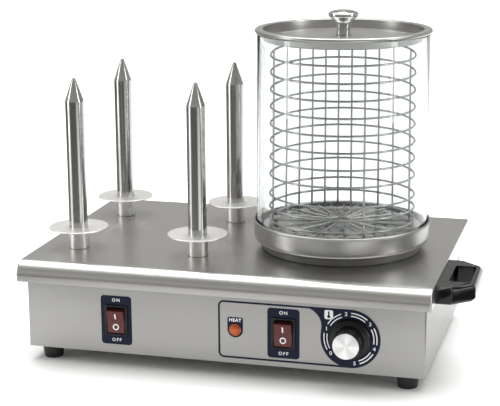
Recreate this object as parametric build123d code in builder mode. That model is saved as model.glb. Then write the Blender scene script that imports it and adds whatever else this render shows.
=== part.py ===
from build123d import *
import os
from math import asin, cos, degrees, pi, sin

# Hot dog steamer with heated bun spikes, in millimetres.
# +Z is up, +X to the operator's right, the control panel faces -Y.
# The origin is on the worktop, under the middle of the overall box.

# ---------------------------------------------------------------- driving sizes
sheet = 1.2                 # steel sheet of the cabinet
fold = 1.8                  # outer radius of a folded edge
gap = 0.2                   # seating clearance between loose pieces
slip = 0.08                 # radial running clearance
hole_play = 0.2             # radial play of a plain fixing hole

cover_width = 478.0
cover_depth = 324.0
body_height = 104.6         # cabinet bottom to cover top
skirt_height = 23.0
nose_radius = 17.0
side_overhang = 7.0
front_overhang = 15.2
back_overhang = 17.4
flange = 16.0               # inward flanges of the cabinet shell
vent_width = 46.0
vent_height = 4.0

foot_height = 16.5
foot_top_r = 13.0
foot_bottom_r = 11.0
foot_inset_x = 22.0
foot_inset_y = 19.0
foot_recess = 4.5

# steamer, placed from the middle of the cover
pan_offset_x = 108.0
pan_gap = 3.4               # glass to the outside of the pan wall
pan_rim_z = 34.8            # above the cover
pan_sheet = 1.0
pan_bead_r = 1.7
pan_floor_z = 9.0           # underside of the pan's ledge
pan_corner_r = 6.0
sump_r = 86.0
sump_depth = 14.0
seat_ring_r = 94.3
glass_r = 100.0
glass_wall = 2.8
glass_height = 242.5
glass_seat = 0.6            # the foot of the glass rests in the pan's rounded corner
tray_gap = 5.7              # tray to the inside of the glass
tray_height = 20.0
tray_hole_r = 2.6
tray_hole_pitch = 13.0
tray_hole_rings = 6
lid_overhang = 2.0
lid_bead_r = 2.3
lid_gap = 3.8               # dish to the inside of the glass
lid_depth = 13.5
lid_sheet = 1.0
lid_step_r = 71.0
lid_step = 4.8
lid_knob_r = 17.5
lid_knob_stem_r = 8.4
lid_knob_height = 28.2
lid_screw_length = 12.0

# wire basket
wire_r = 1.25
basket_r = 84.0             # middle of the ring wire
low_rings = 3
low_ring_pitch = 14.75
first_ring_z = 36.6
high_rings = 8
high_ring_z = 89.1
high_ring_pitch = 19.43
upright_pitch = 16.1        # across the back of the basket
back_uprights = 11
basket_turn = 15.0          # degrees that the open front faces to the right
front_upright_turn = 14.0
hub_r = 12.0
front_spokes = 9

# bun warmer
spike_offset_x = -118.6
spike_pitch_x = 147.0
spike_pitch_y = 163.5
spike_r = 10.9
spike_height = 202.5
spike_cone = 27.0
spike_tip_r = 1.7
spike_stub_r = 8.0
spike_stub_length = 14.0
heater_rod_r = 6.5
heater_rod_length = 150.0
stop_disc_r = 34.9
stop_disc_t = 1.5
stop_height = 25.6
stop_sleeve_wall = 1.25
stop_edge_r = 0.5
spike_nut_flats = 24.0
spike_nut_t = 5.0
washer_r = 14.0
washer_t = 1.5

# controls, placed from the middle of the cover and down from its top
panel_drop = 65.2
left_switch_x = -123.4
right_switch_x = 73.2
lamp_x = 17.7
dial_x = 148.8
print_t = 0.3               # thickness of the printed labels
label_width = 36.8
label_height = 58.0
label_corner = 4.0
group_left_x = -2.1
group_half = 33.6
group_line = 2.1
group_corner = 6.5
sweep_reach = 18.0          # how far the filled sweep runs left of the dial disc
bezel_width = 27.0
bezel_height = 36.0
bezel_t = 2.0
switch_width = 23.6
switch_height = 32.6
switch_depth = 26.0
rocker_width = 20.0
rocker_half = 13.6
rocker_end = 6.5
rocker_mid = 4.2
rocker_tilt = 9.0
rocker_pin_r = 1.5
rocker_well_half = 14.9
rocker_side_gap = 0.3
rocker_pin_half = 11.5
rocker_pivot_in = 1.5       # behind the panel's face
lamp_body_r = 5.0
lamp_flange_r = 6.9
lamp_flange_t = 1.0
lamp_lens_r = 6.2
lamp_lens_h = 4.0
lamp_depth = 22.0
lamp_label_width = 18.0
lamp_label_rise = 14.6
knob_reach = 27.4
knob_skirt_r = 23.0
knob_skirt_t = 4.0
knob_grip_r = 16.4
knob_front_r = 15.4
knob_cap_r = 14.6
knob_cap_t = 1.2
knob_lift = 1.2
knob_well_r = 10.0
knob_well_depth = 7.0
shaft_r = 3.0
bushing_r = 4.8
bushing_out = 6.0
shaft_out = 20.5
shaft_in = 12.0
dial_nut_flats = 14.0
dial_nut_t = 3.0
thermostat_width = 36.0
thermostat_height = 34.0
thermostat_depth = 19.0

# side handle
handle_reach = 41.0
handle_length = 116.0
handle_offset_y = -76.5
handle_drop = 3.0
handle_height = 20.0
handle_grip = 6.5
handle_bridge = 11.0
handle_end = 26.0
handle_hole_r = 4.0
handle_slope = 20.0
handle_flat = 18.0
handle_corner_r = 5.5
handle_chamfer = 4.2
handle_screw_r = 2.5
handle_screw_pitch = 88.0
handle_screw_depth = 13.0

# fasteners and fittings
screw_r = 2.0
screw_head_r = 3.8
screw_head_t = 2.2
screw_length = 7.0
nut_flats = 7.0
nut_t = 3.2
stud_length = 9.0
heater_plate_r = 78.0
heater_plate_t = 6.0
heater_stud_r = 2.5
heater_stud_pcd = 132.0
element_r = 4.2
element_ring_r = 48.0
element_sink = 3.0
element_tail = 16.0
gland_x = -150.0
gland_rise = 29.6
gland_bore_r = 4.0
gland_thread_r = 8.0
gland_flats = 19.0
gland_out = 12.0
gland_in = 11.0
gland_nut_t = 4.0
terminal_x = -90.0
terminal_size = (46.0, 20.0, 16.0)
terminal_from_back = 55.0
terminal_entry_r = 2.2

# ---------------------------------------------------------------- derived places
cover_x = -handle_reach / 2
cover_y = (knob_reach - front_overhang) / 2
cover_left = cover_x - cover_width / 2
cover_right = cover_x + cover_width / 2
cover_front = cover_y - cover_depth / 2
cover_back = cover_y + cover_depth / 2
cover_top = foot_height + body_height
skirt_bottom = cover_top - skirt_height
roof = cover_top - sheet

body_left = cover_left + side_overhang
body_right = cover_right - side_overhang
body_front = cover_front + front_overhang
body_back = cover_back - back_overhang
body_bottom = foot_height
pan_r = glass_r + pan_gap
tray_r = glass_r - glass_wall - tray_gap
lid_r = glass_r + lid_overhang
lid_dish_r = glass_r - glass_wall - lid_gap
body_width = body_right - body_left
body_mid_y = (body_front + body_back) / 2

shell_bottom = body_bottom + sheet
shell_back = body_back - sheet
shell_height = roof - shell_bottom

panel_z = cover_top - panel_drop
panel = Plane.XZ.offset(-body_front)
dial = (cover_x + dial_x, panel_z)
lamp = (cover_x + lamp_x, panel_z)
switches = {"left": cover_x + left_switch_x, "right": cover_x + right_switch_x}

pan_x = cover_x + pan_offset_x
pan_y = cover_y
ledge_z = cover_top + pan_floor_z + pan_sheet
sump_bottom = cover_top - sump_depth
glass_z = ledge_z + glass_seat
glass_top = glass_z + glass_height
lid_top = glass_top + gap / 2 + 2 * lid_bead_r
tray_z = ledge_z + gap
tray_top = tray_z + tray_height
dish_z = lid_top - lid_depth
lid_plate_z = dish_z + lid_step + lid_sheet
element_z = sump_bottom - heater_plate_t - element_r + element_sink

spike_x = cover_x + spike_offset_x
spike_spots = [
    (spike_x + i * spike_pitch_x / 2, cover_y + j * spike_pitch_y / 2)
    for j in (-1, 1)
    for i in (-1, 1)
]
stop_bore = spike_r + slip

foot_spots = {
    "front_left": (body_left + foot_inset_x, body_front + foot_inset_y),
    "front_right": (body_right - foot_inset_x, body_front + foot_inset_y),
    "back_left": (body_left + foot_inset_x, body_back - foot_inset_y),
    "back_right": (body_right - foot_inset_x, body_back - foot_inset_y),
}

screw_inset = flange / 2
bottom_screw_inset = 0.7 * flange
back_screw_spots = [
    (x, z)
    for x in (body_left + screw_inset, cover_x, body_right - screw_inset)
    for z in (shell_bottom + screw_inset, roof - screw_inset)
]
bottom_screw_spots = [
    (x, y)
    for x in (body_left + 3 * foot_inset_x, cover_x, body_right - 3 * foot_inset_x)
    for y in (body_front + bottom_screw_inset, shell_back - bottom_screw_inset)
]
stud_spots = [
    (x, y)
    for x in (body_left + 2 * foot_inset_x, cover_x, body_right - 2 * foot_inset_x)
    for y in (body_front + screw_inset, shell_back - screw_inset)
]
handle_y = cover_y + handle_offset_y
handle_top = cover_top - handle_drop
handle_mid_z = handle_top - handle_height / 2
handle_screw_spots = [(handle_y + s * handle_screw_pitch / 2, handle_mid_z) for s in (-1, 1)]

pieces = {}


def upright_plane(x, y):
    """Sketch plane through the vertical axis at x, y: local x is radius, local y is height."""
    return Plane(origin=(x, y, 0), x_dir=(1, 0, 0), z_dir=(0, -1, 0))


def upright_axis(x, y):
    return Axis((x, y, 0), (0, 0, 1))


def depth_plane(spot):
    """Sketch plane through a front-to-back axis on the panel: local y runs into the body."""
    return Plane(origin=(spot[0], body_front, spot[1]), x_dir=(1, 0, 0), z_dir=(0, 0, 1))


def depth_axis(spot):
    return Axis((spot[0], body_front, spot[1]), (0, 1, 0))


def dome_radius(rim_point, top_point):
    """Radius of the sphere, centred on the axis, that passes through rim and top."""
    rise = abs(top_point[1] - rim_point[1])
    return (rim_point[0] ** 2 + rise**2) / (2 * rise)


# ---------------------------------------------------------------- cabinet
with BuildPart() as cover:
    with BuildSketch(Plane.YZ.offset(cover_left)):
        with BuildLine():
            Polyline(
                (cover_front, cover_top - nose_radius),
                (cover_front, skirt_bottom),
                (cover_back, skirt_bottom),
                (cover_back, cover_top),
                (cover_front + nose_radius, cover_top),
            )
            CenterArc(
                (cover_front + nose_radius, cover_top - nose_radius), nose_radius, 90, 90
            )
        make_face()
    extrude(amount=cover_width)
    side_faces = cover.faces().filter_by(Axis.X)
    open_face = cover.faces().sort_by(Axis.Z)[0]
    folded = side_faces.edges() - open_face.edges()
    fillet(folded + [cover.faces().sort_by(Axis.Y)[-1].edges().sort_by(Axis.Z)[-1]], fold)
    offset(amount=-sheet, openings=cover.faces().sort_by(Axis.Z)[0])
    with Locations((pan_x, pan_y, cover_top)):
        Hole(sump_r + pan_sheet + 1.5)
    with Locations(*[(x, y, cover_top) for x, y in spike_spots]):
        Hole(spike_stub_r + hole_play)
    with BuildSketch(Plane.YZ.offset(cover_right)):
        with Locations(*handle_screw_spots):
            Circle(handle_screw_r + hole_play)
    extrude(amount=-side_overhang / 2, mode=Mode.SUBTRACT)
pieces["cover"] = cover

with BuildPart() as cabinet_shell:
    with Locations((cover_x, (body_front + shell_back) / 2, (shell_bottom + roof) / 2)):
        Box(body_width, shell_back - body_front, shell_height)
    front_edges = cabinet_shell.edges().group_by(Axis.Y)[0]
    fillet(front_edges.filter_by(Axis.Z) + front_edges.sort_by(Axis.Z)[-1:], fold)
    with Locations((cover_x, (body_front + shell_back) / 2, (shell_bottom + roof) / 2)):
        Box(
            body_width - 2 * sheet,
            shell_back - body_front - 2 * sheet,
            shell_height - 2 * sheet,
            mode=Mode.SUBTRACT,
        )
        Box(
            body_width - 2 * flange,
            shell_back - body_front - 2 * flange,
            shell_height + 2,
            mode=Mode.SUBTRACT,
        )
    with Locations((cover_x, shell_back, (shell_bottom + roof) / 2)):
        Box(body_width - 2 * flange, 3 * sheet, shell_height - 2 * flange, mode=Mode.SUBTRACT)
    with BuildSketch(panel):
        with Locations(*[(x, panel_z) for x in switches.values()]):
            Rectangle(switch_width + 2 * hole_play, switch_height + 2 * hole_play)
        with Locations(lamp):
            Circle(lamp_body_r + hole_play)
        with Locations(dial):
            Circle(bushing_r + hole_play)
    extrude(amount=-2 * sheet, mode=Mode.SUBTRACT)
    with BuildSketch(Plane.XZ.offset(-shell_back)):
        with Locations(*back_screw_spots):
            Circle(screw_r + hole_play)
    extrude(amount=2 * sheet, mode=Mode.SUBTRACT)
    with BuildSketch(Plane.XY.offset(shell_bottom)):
        with Locations(*bottom_screw_spots):
            Circle(screw_r + hole_play)
        with Locations(*foot_spots.values()):
            Rectangle(2 * foot_top_r, 2 * foot_top_r)
    extrude(amount=sheet, mode=Mode.SUBTRACT)
    with BuildSketch(Plane.XY.offset(roof)):
        with Locations(*stud_spots):
            Circle(screw_r + hole_play)
    extrude(amount=-sheet, mode=Mode.SUBTRACT)
pieces["cabinet_shell"] = cabinet_shell

with BuildPart() as back_panel:
    with BuildSketch(Plane.XZ.offset(-body_back)):
        with Locations((cover_x, (shell_bottom + roof) / 2)):
            Rectangle(body_width, shell_height)
        with Locations(*back_screw_spots):
            Circle(screw_r + hole_play, mode=Mode.SUBTRACT)
        with Locations((cover_x + gland_x, body_bottom + gland_rise)):
            Circle(gland_thread_r + hole_play, mode=Mode.SUBTRACT)
        with Locations((cover_x + pan_offset_x, panel_z)):
            with GridLocations(vent_width + 8, 2.5 * vent_height, 3, 5):
                SlotOverall(vent_width, vent_height, mode=Mode.SUBTRACT)
    extrude(amount=sheet)
pieces["back_panel"] = back_panel

with BuildPart() as bottom_plate:
    with BuildSketch(Plane.XY.offset(body_bottom)):
        with Locations((cover_x, body_mid_y)):
            Rectangle(body_width - 2 * gap, body_back - body_front - 2 * gap)
            with GridLocations(vent_width + 8, 4 * vent_height, 6, 5):
                SlotOverall(vent_width, vent_height, mode=Mode.SUBTRACT)
        with Locations(*bottom_screw_spots):
            Circle(screw_r + hole_play, mode=Mode.SUBTRACT)
        with Locations(*foot_spots.values()):
            Circle(screw_r + hole_play, mode=Mode.SUBTRACT)
    extrude(amount=sheet)
pieces["bottom_plate"] = bottom_plate


def make_foot(x, y):
    """Tapered rubber foot with a recess underneath for its screw head."""
    with BuildPart() as foot:
        with BuildSketch(upright_plane(x, y)):
            Polygon(
                (screw_r + hole_play, foot_recess),
                (screw_head_r + 1, foot_recess),
                (screw_head_r + 1, 0),
                (foot_bottom_r, 0),
                (foot_top_r, foot_height),
                (screw_r + hole_play, foot_height),
                align=None,
            )
        revolve(axis=upright_axis(x, y))
        fillet(foot.edges().filter_by(GeomType.CIRCLE).sort_by(SortBy.RADIUS)[-2], 1.2)
    return foot


for corner, (foot_x, foot_y) in foot_spots.items():
    pieces[corner + "_foot"] = make_foot(foot_x, foot_y)

with BuildPart() as foot_screws:
    for spot in foot_spots.values():
        with BuildSketch(upright_plane(*spot)):
            Polygon(
                (0, foot_recess - screw_head_t),
                (screw_head_r, foot_recess - screw_head_t),
                (screw_head_r, foot_recess),
                (screw_r, foot_recess),
                (screw_r, body_bottom + sheet + nut_t + 1),
                (0, body_bottom + sheet + nut_t + 1),
                align=None,
            )
        revolve(axis=upright_axis(*spot))
pieces["foot_screws"] = foot_screws

with BuildPart() as foot_nuts:
    with BuildSketch(Plane.XY.offset(body_bottom + sheet)):
        with Locations(*foot_spots.values()):
            RegularPolygon(nut_flats / 2, 6, major_radius=False)
            Circle(screw_r, mode=Mode.SUBTRACT)
    extrude(amount=nut_t)
pieces["foot_nuts"] = foot_nuts

with BuildPart() as back_screws:
    with BuildSketch(Plane.XZ.offset(-body_back)):
        with Locations(*back_screw_spots):
            Circle(screw_head_r)
    extrude(amount=-screw_head_t)
    fillet(back_screws.faces().group_by(Axis.Y)[-1].edges(), 1.2)
    with BuildSketch(Plane.XZ.offset(-body_back)):
        with Locations(*back_screw_spots):
            Circle(screw_r)
    extrude(amount=screw_length)
pieces["back_screws"] = back_screws

with BuildPart() as bottom_screws:
    with BuildSketch(Plane.XY.offset(body_bottom)):
        with Locations(*bottom_screw_spots):
            Circle(screw_head_r)
    extrude(amount=-screw_head_t)
    fillet(bottom_screws.faces().group_by(Axis.Z)[0].edges(), 1.2)
    with BuildSketch(Plane.XY.offset(body_bottom)):
        with Locations(*bottom_screw_spots):
            Circle(screw_r)
    extrude(amount=screw_length)
pieces["bottom_screws"] = bottom_screws

with BuildPart() as cover_studs:
    with BuildSketch(Plane.XY.offset(roof)):
        with Locations(*stud_spots):
            Circle(screw_r)
    extrude(amount=-stud_length)
pieces["cover_studs"] = cover_studs

with BuildPart() as cover_nuts:
    with BuildSketch(Plane.XY.offset(roof - sheet)):
        with Locations(*stud_spots):
            RegularPolygon(nut_flats / 2, 6, major_radius=False)
            Circle(screw_r, mode=Mode.SUBTRACT)
    extrude(amount=-nut_t)
pieces["cover_nuts"] = cover_nuts

# ---------------------------------------------------------------- steamer
with BuildPart() as water_pan:
    with BuildSketch(upright_plane(pan_x, pan_y)):
        with BuildLine():
            rim = cover_top + pan_rim_z
            ledge = cover_top + pan_floor_z
            corner_in = pan_corner_r - pan_sheet
            Polyline(
                (0, sump_bottom),
                (sump_r + pan_sheet, sump_bottom),
                (sump_r + pan_sheet, ledge),
                (pan_r - pan_corner_r, ledge),
            )
            CenterArc((pan_r - pan_corner_r, ledge + pan_corner_r), pan_corner_r, -90, 90)
            Polyline(
                (pan_r, ledge + pan_corner_r),
                (pan_r, rim - pan_bead_r),
                (pan_r - pan_sheet, rim - pan_bead_r),
                (pan_r - pan_sheet, ledge + pan_corner_r),
            )
            CenterArc((pan_r - pan_corner_r, ledge + pan_corner_r), corner_in, -90, 90)
            Polyline(
                (pan_r - pan_corner_r, ledge_z),
                (sump_r, ledge_z),
                (sump_r, sump_bottom + pan_sheet),
                (0, sump_bottom + pan_sheet),
                (0, sump_bottom),
            )
        make_face()
        with Locations((pan_r - pan_sheet / 2, rim - pan_bead_r)):
            Circle(pan_bead_r)
    revolve(axis=upright_axis(pan_x, pan_y))
pieces["water_pan"] = water_pan

with BuildPart() as pan_seat_ring:
    with BuildSketch(upright_plane(pan_x, pan_y)):
        ring_in = sump_r + pan_sheet + 1.5
        with Locations(((ring_in + seat_ring_r) / 2, cover_top + pan_floor_z / 2)):
            Rectangle(seat_ring_r - ring_in, pan_floor_z)
    revolve(axis=upright_axis(pan_x, pan_y))
    fillet(
        pan_seat_ring.edges().filter_by(GeomType.CIRCLE).group_by(SortBy.RADIUS)[-1],
        1.4,
    )
pieces["pan_seat_ring"] = pan_seat_ring

with BuildPart() as glass_cylinder:
    with BuildSketch(Plane.XY.offset(glass_z)):
        with Locations((pan_x, pan_y)):
            Circle(glass_r)
            Circle(glass_r - glass_wall, mode=Mode.SUBTRACT)
    extrude(amount=glass_height)
    fillet(glass_cylinder.edges().filter_by(GeomType.CIRCLE), glass_wall / 3)
pieces["glass_cylinder"] = glass_cylinder

with BuildPart() as steam_tray:
    with BuildSketch(upright_plane(pan_x, pan_y)):
        Polygon(
            (0, tray_top - pan_sheet),
            (tray_r - pan_sheet, tray_top - pan_sheet),
            (tray_r - pan_sheet, tray_z),
            (tray_r, tray_z),
            (tray_r, tray_top),
            (0, tray_top),
            align=None,
        )
    revolve(axis=upright_axis(pan_x, pan_y))
    fillet(steam_tray.faces().sort_by(Axis.Z)[-1].edges(), pan_sheet / 2)
    with BuildSketch(Plane.XY.offset(tray_top)):
        with Locations((pan_x, pan_y)):
            for ring in range(1, tray_hole_rings + 1):
                with PolarLocations(ring * tray_hole_pitch, 6 * ring):
                    Circle(tray_hole_r)
    extrude(amount=-2 * pan_sheet, mode=Mode.SUBTRACT)
pieces["steam_tray"] = steam_tray

with BuildPart() as lid:
    with BuildSketch(upright_plane(pan_x, pan_y)):
        Polygon(
            (0, dish_z + lid_step),
            (lid_step_r - lid_sheet, dish_z + lid_step),
            (lid_step_r - lid_sheet, dish_z),
            (lid_dish_r, dish_z),
            (lid_dish_r, lid_top - lid_sheet),
            (lid_r - lid_bead_r, lid_top - lid_sheet),
            (lid_r - lid_bead_r, lid_top),
            (lid_dish_r - lid_sheet, lid_top),
            (lid_dish_r - lid_sheet, dish_z + lid_sheet),
            (lid_step_r, dish_z + lid_sheet),
            (lid_step_r, lid_plate_z),
            (0, lid_plate_z),
            align=None,
        )
        with Locations((lid_r - lid_bead_r, lid_top - lid_bead_r)):
            Circle(lid_bead_r)
    revolve(axis=upright_axis(pan_x, pan_y))
    with Locations((pan_x, pan_y, lid_plate_z)):
        Hole(screw_r + hole_play)
pieces["lid"] = lid

with BuildPart() as lid_knob:
    with BuildSketch(upright_plane(pan_x, pan_y)):
        with BuildLine():
            knob_neck = (lid_knob_stem_r, lid_plate_z + 0.35 * lid_knob_height)
            knob_lip = (lid_knob_r - 1.5, lid_plate_z + 0.76 * lid_knob_height)
            knob_edge = (lid_knob_r - 1.2, lid_plate_z + 0.9 * lid_knob_height)
            Polyline((0, lid_plate_z), (lid_knob_stem_r, lid_plate_z), knob_neck)
            ThreePointArc(
                knob_neck,
                (lid_knob_stem_r + 1.8, lid_plate_z + 0.6 * lid_knob_height),
                knob_lip,
            )
            ThreePointArc(knob_lip, (lid_knob_r, lid_plate_z + 0.83 * lid_knob_height), knob_edge)
            knob_top = (0, lid_plate_z + lid_knob_height)
            RadiusArc(knob_edge, knob_top, -dome_radius(knob_edge, knob_top))
            Line(knob_top, (0, lid_plate_z))
        make_face()
    revolve(axis=upright_axis(pan_x, pan_y))
    with BuildSketch(Plane.XY.offset(lid_plate_z)):
        with Locations((pan_x, pan_y)):
            Circle(screw_r)
    extrude(amount=lid_screw_length, mode=Mode.SUBTRACT)
pieces["lid_knob"] = lid_knob

with BuildPart() as lid_knob_screw:
    with BuildSketch(Plane.XY.offset(dish_z + lid_step)):
        with Locations((pan_x, pan_y)):
            Circle(screw_head_r)
    extrude(amount=-screw_head_t)
    with BuildSketch(Plane.XY.offset(dish_z + lid_step)):
        with Locations((pan_x, pan_y)):
            Circle(screw_r)
    extrude(amount=lid_screw_length + lid_sheet)
pieces["lid_knob_screw"] = lid_knob_screw

# The basket's uprights are evenly spaced across its back, with one more in front.
ring_heights = [cover_top + first_ring_z + i * low_ring_pitch for i in range(low_rings)]
ring_heights += [cover_top + high_ring_z + i * high_ring_pitch for i in range(high_rings)]
upright_r = basket_r - 2 * wire_r
upright_turns = [
    90 + basket_turn - degrees(asin(k * upright_pitch / upright_r))
    for k in range(-(back_uprights // 2), back_uprights // 2 + 1)
]
upright_turns.append(270 + basket_turn + front_upright_turn)
floor_wire_z = cover_top + first_ring_z - 2 * wire_r
floor_turns = [
    (a + b) / 2 for a, b in zip(upright_turns[:back_uprights], upright_turns[1:back_uprights])
]
front_angle = 360 - (upright_turns[0] - upright_turns[back_uprights - 1])
floor_turns += [
    upright_turns[0] + (i + 0.5) * front_angle / front_spokes for i in range(front_spokes)
]

with BuildPart() as basket_rings:
    with Locations(*[(pan_x, pan_y, z) for z in ring_heights]):
        Torus(basket_r, wire_r)
pieces["basket_rings"] = basket_rings

with BuildPart() as basket_uprights:
    with BuildSketch(Plane.XY.offset(tray_top + gap)):
        for turn in upright_turns:
            with Locations(
                (pan_x + upright_r * cos(turn * pi / 180), pan_y + upright_r * sin(turn * pi / 180))
            ):
                Circle(wire_r)
    extrude(amount=ring_heights[-1] + wire_r - tray_top - gap)
    fillet(basket_uprights.faces().group_by(Axis.Z)[-1].edges(), wire_r / 2)
pieces["basket_uprights"] = basket_uprights

with BuildPart() as basket_floor:
    with Locations((pan_x, pan_y, floor_wire_z)):
        Torus(hub_r, wire_r)
    for turn in floor_turns:
        ray = Vector(cos(turn * pi / 180), sin(turn * pi / 180), 0)
        with BuildSketch(Plane(origin=Vector(pan_x, pan_y, floor_wire_z) + ray * hub_r, z_dir=ray)):
            Circle(wire_r)
        extrude(amount=basket_r - hub_r)
pieces["basket_floor"] = basket_floor


# ---------------------------------------------------------------- bun warmer
def make_spike(x, y):
    """Hollow pointed spike whose threaded stub passes through the cover."""
    bore = heater_rod_r + hole_play
    with BuildPart() as spike:
        with BuildSketch(upright_plane(x, y)):
            Polygon(
                (bore, cover_top - spike_stub_length),
                (spike_stub_r, cover_top - spike_stub_length),
                (spike_stub_r, cover_top),
                (spike_r, cover_top),
                (spike_r, cover_top + spike_height - spike_cone),
                (spike_tip_r, cover_top + spike_height),
                (0, cover_top + spike_height),
                (0, cover_top + heater_rod_length),
                (bore, cover_top + heater_rod_length),
                align=None,
            )
        revolve(axis=upright_axis(x, y))
        fillet(spike.faces().sort_by(Axis.Z)[-1].edges(), 0.7 * spike_tip_r)
    return spike


def make_bun_stop(x, y):
    """Loose flanged sleeve that slides on a spike and carries the bun."""
    sleeve_r = stop_bore + stop_sleeve_wall
    disc_top = cover_top + stop_height
    with BuildPart() as bun_stop:
        with BuildSketch(upright_plane(x, y)):
            Polygon(
                (stop_bore, cover_top + gap),
                (sleeve_r, cover_top + gap),
                (sleeve_r, disc_top - stop_disc_t),
                (stop_disc_r, disc_top - stop_disc_t),
                (stop_disc_r, disc_top),
                (stop_bore, disc_top),
                align=None,
            )
        revolve(axis=upright_axis(x, y))
        rim = bun_stop.edges().filter_by(GeomType.CIRCLE).group_by(SortBy.RADIUS)[-1]
        fillet(rim, stop_edge_r)
    return bun_stop


for number, spot in enumerate(spike_spots, start=1):
    pieces[f"spike_{number}"] = make_spike(*spot)
    pieces[f"bun_stop_{number}"] = make_bun_stop(*spot)

with BuildPart() as spike_heaters:
    with BuildSketch(Plane.XY.offset(cover_top + heater_rod_length - hole_play)):
        with Locations(*spike_spots):
            Circle(heater_rod_r)
    extrude(amount=-heater_rod_length - spike_stub_length)
pieces["spike_heaters"] = spike_heaters

with BuildPart() as spike_washers:
    with BuildSketch(Plane.XY.offset(roof)):
        with Locations(*spike_spots):
            Circle(washer_r)
            Circle(spike_stub_r + hole_play, mode=Mode.SUBTRACT)
    extrude(amount=-washer_t)
pieces["spike_washers"] = spike_washers

with BuildPart() as spike_nuts:
    with BuildSketch(Plane.XY.offset(roof - washer_t)):
        with Locations(*spike_spots):
            RegularPolygon(spike_nut_flats / 2, 6, major_radius=False)
            Circle(spike_stub_r, mode=Mode.SUBTRACT)
    extrude(amount=-spike_nut_t)
pieces["spike_nuts"] = spike_nuts

# ---------------------------------------------------------------- pan heater
with BuildPart() as heater_plate:
    with BuildSketch(Plane.XY.offset(sump_bottom)):
        with Locations((pan_x, pan_y)):
            Circle(heater_plate_r)
            with PolarLocations(heater_stud_pcd / 2, 3):
                Circle(heater_stud_r + hole_play, mode=Mode.SUBTRACT)
    extrude(amount=-heater_plate_t)
    with Locations((pan_x, pan_y, element_z)):
        Torus(element_ring_r, element_r, mode=Mode.SUBTRACT)
pieces["heater_plate"] = heater_plate

with BuildPart() as heater_element:
    with Locations(Location((pan_x, pan_y, element_z), (0, 0, 180))):
        Torus(element_ring_r, element_r)
    for side in (-1, 1):
        with BuildSketch(Plane.XY.offset(element_z)):
            with Locations((pan_x + element_ring_r, pan_y + side * 2 * element_r)):
                Circle(element_r / 2)
        extrude(amount=-element_tail)
pieces["heater_element"] = heater_element

with BuildPart() as heater_studs:
    with BuildSketch(Plane.XY.offset(sump_bottom)):
        with Locations((pan_x, pan_y)):
            with PolarLocations(heater_stud_pcd / 2, 3):
                Circle(heater_stud_r)
    extrude(amount=-heater_plate_t - nut_t - 2)
pieces["heater_studs"] = heater_studs

with BuildPart() as heater_nuts:
    with BuildSketch(Plane.XY.offset(sump_bottom - heater_plate_t)):
        with Locations((pan_x, pan_y)):
            with PolarLocations(heater_stud_pcd / 2, 3):
                RegularPolygon(nut_flats / 2 + 0.5, 6, major_radius=False)
                Circle(heater_stud_r, mode=Mode.SUBTRACT)
    extrude(amount=-nut_t)
pieces["heater_nuts"] = heater_nuts

# ---------------------------------------------------------------- controls
pivot_y = body_front + rocker_pivot_in


def make_switch_label(x):
    """Printed label around a rocker switch."""
    with BuildPart() as label:
        with BuildSketch(panel):
            with Locations((x, panel_z)):
                RectangleRounded(label_width, label_height, label_corner)
                Rectangle(
                    switch_width + 2 * hole_play,
                    switch_height + 2 * hole_play,
                    mode=Mode.SUBTRACT,
                )
        extrude(amount=print_t)
    return label


def make_switch_body(x):
    """Bezel and housing of a rocker switch, clipped into the panel."""
    well_depth = bezel_t + print_t + 12
    with BuildPart() as body:
        with BuildSketch(panel.offset(print_t)):
            with Locations((x, panel_z)):
                RectangleRounded(bezel_width, bezel_height, 2)
        extrude(amount=bezel_t)
        fillet(body.faces().sort_by(Axis.Y)[0].edges(), 0.6)
        with BuildSketch(panel.offset(print_t)):
            with Locations((x, panel_z)):
                Rectangle(switch_width, switch_height)
        extrude(amount=-switch_depth)
        with BuildSketch(panel.offset(print_t + bezel_t)):
            with Locations((x, panel_z)):
                Rectangle(rocker_width + 2 * rocker_side_gap, 2 * rocker_well_half)
        extrude(amount=-well_depth, mode=Mode.SUBTRACT)
        with BuildSketch(Plane.YZ.offset(x - switch_width / 2)):
            with Locations((pivot_y, panel_z)):
                Circle(rocker_pin_r + slip)
        extrude(amount=switch_width, mode=Mode.SUBTRACT)
    return body


def make_rocker(x):
    """Two-faced rocker, tipped with its lower half pressed in."""
    outline = [
        (rocker_half, rocker_end),
        (0, rocker_mid),
        (-rocker_half, rocker_end),
        (-rocker_half + 0.4, -1),
        (-rocker_half / 2, -5),
        (rocker_half / 2, -5),
        (rocker_half - 0.4, -1),
    ]
    turn = rocker_tilt * pi / 180
    tipped = [
        (pivot_y - (u * sin(turn) + v * cos(turn)), panel_z + u * cos(turn) - v * sin(turn))
        for u, v in outline
    ]
    with BuildPart() as rocker:
        with BuildSketch(Plane.YZ.offset(x - rocker_width / 2)):
            with BuildLine():
                Polyline(*tipped, close=True)
            make_face()
        extrude(amount=rocker_width)
        ends = rocker.edges().filter_by(Axis.X).sort_by(Axis.Y)[:1]
        fillet(ends, 0.6)
        with BuildSketch(Plane.YZ.offset(x - rocker_pin_half)):
            with Locations((pivot_y, panel_z)):
                Circle(rocker_pin_r)
        extrude(amount=2 * rocker_pin_half)
    return rocker


for side, switch_x in switches.items():
    pieces[side + "_switch_label"] = make_switch_label(switch_x)
    pieces[side + "_switch_body"] = make_switch_body(switch_x)
    pieces[side + "_rocker"] = make_rocker(switch_x)

with BuildPart() as lamp_label:
    with BuildSketch(panel):
        with Locations(lamp):
            Circle(lamp_label_width / 2)
        with Locations((lamp[0], lamp[1] + lamp_label_rise / 2)):
            Rectangle(lamp_label_width, lamp_label_rise)
        with Locations(lamp):
            Circle(lamp_body_r + hole_play, mode=Mode.SUBTRACT)
    extrude(amount=print_t)
    top_corners = lamp_label.edges().filter_by(Axis.Y).group_by(Axis.Z)[-1]
    fillet(top_corners, 2)
pieces["lamp_label"] = lamp_label

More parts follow.
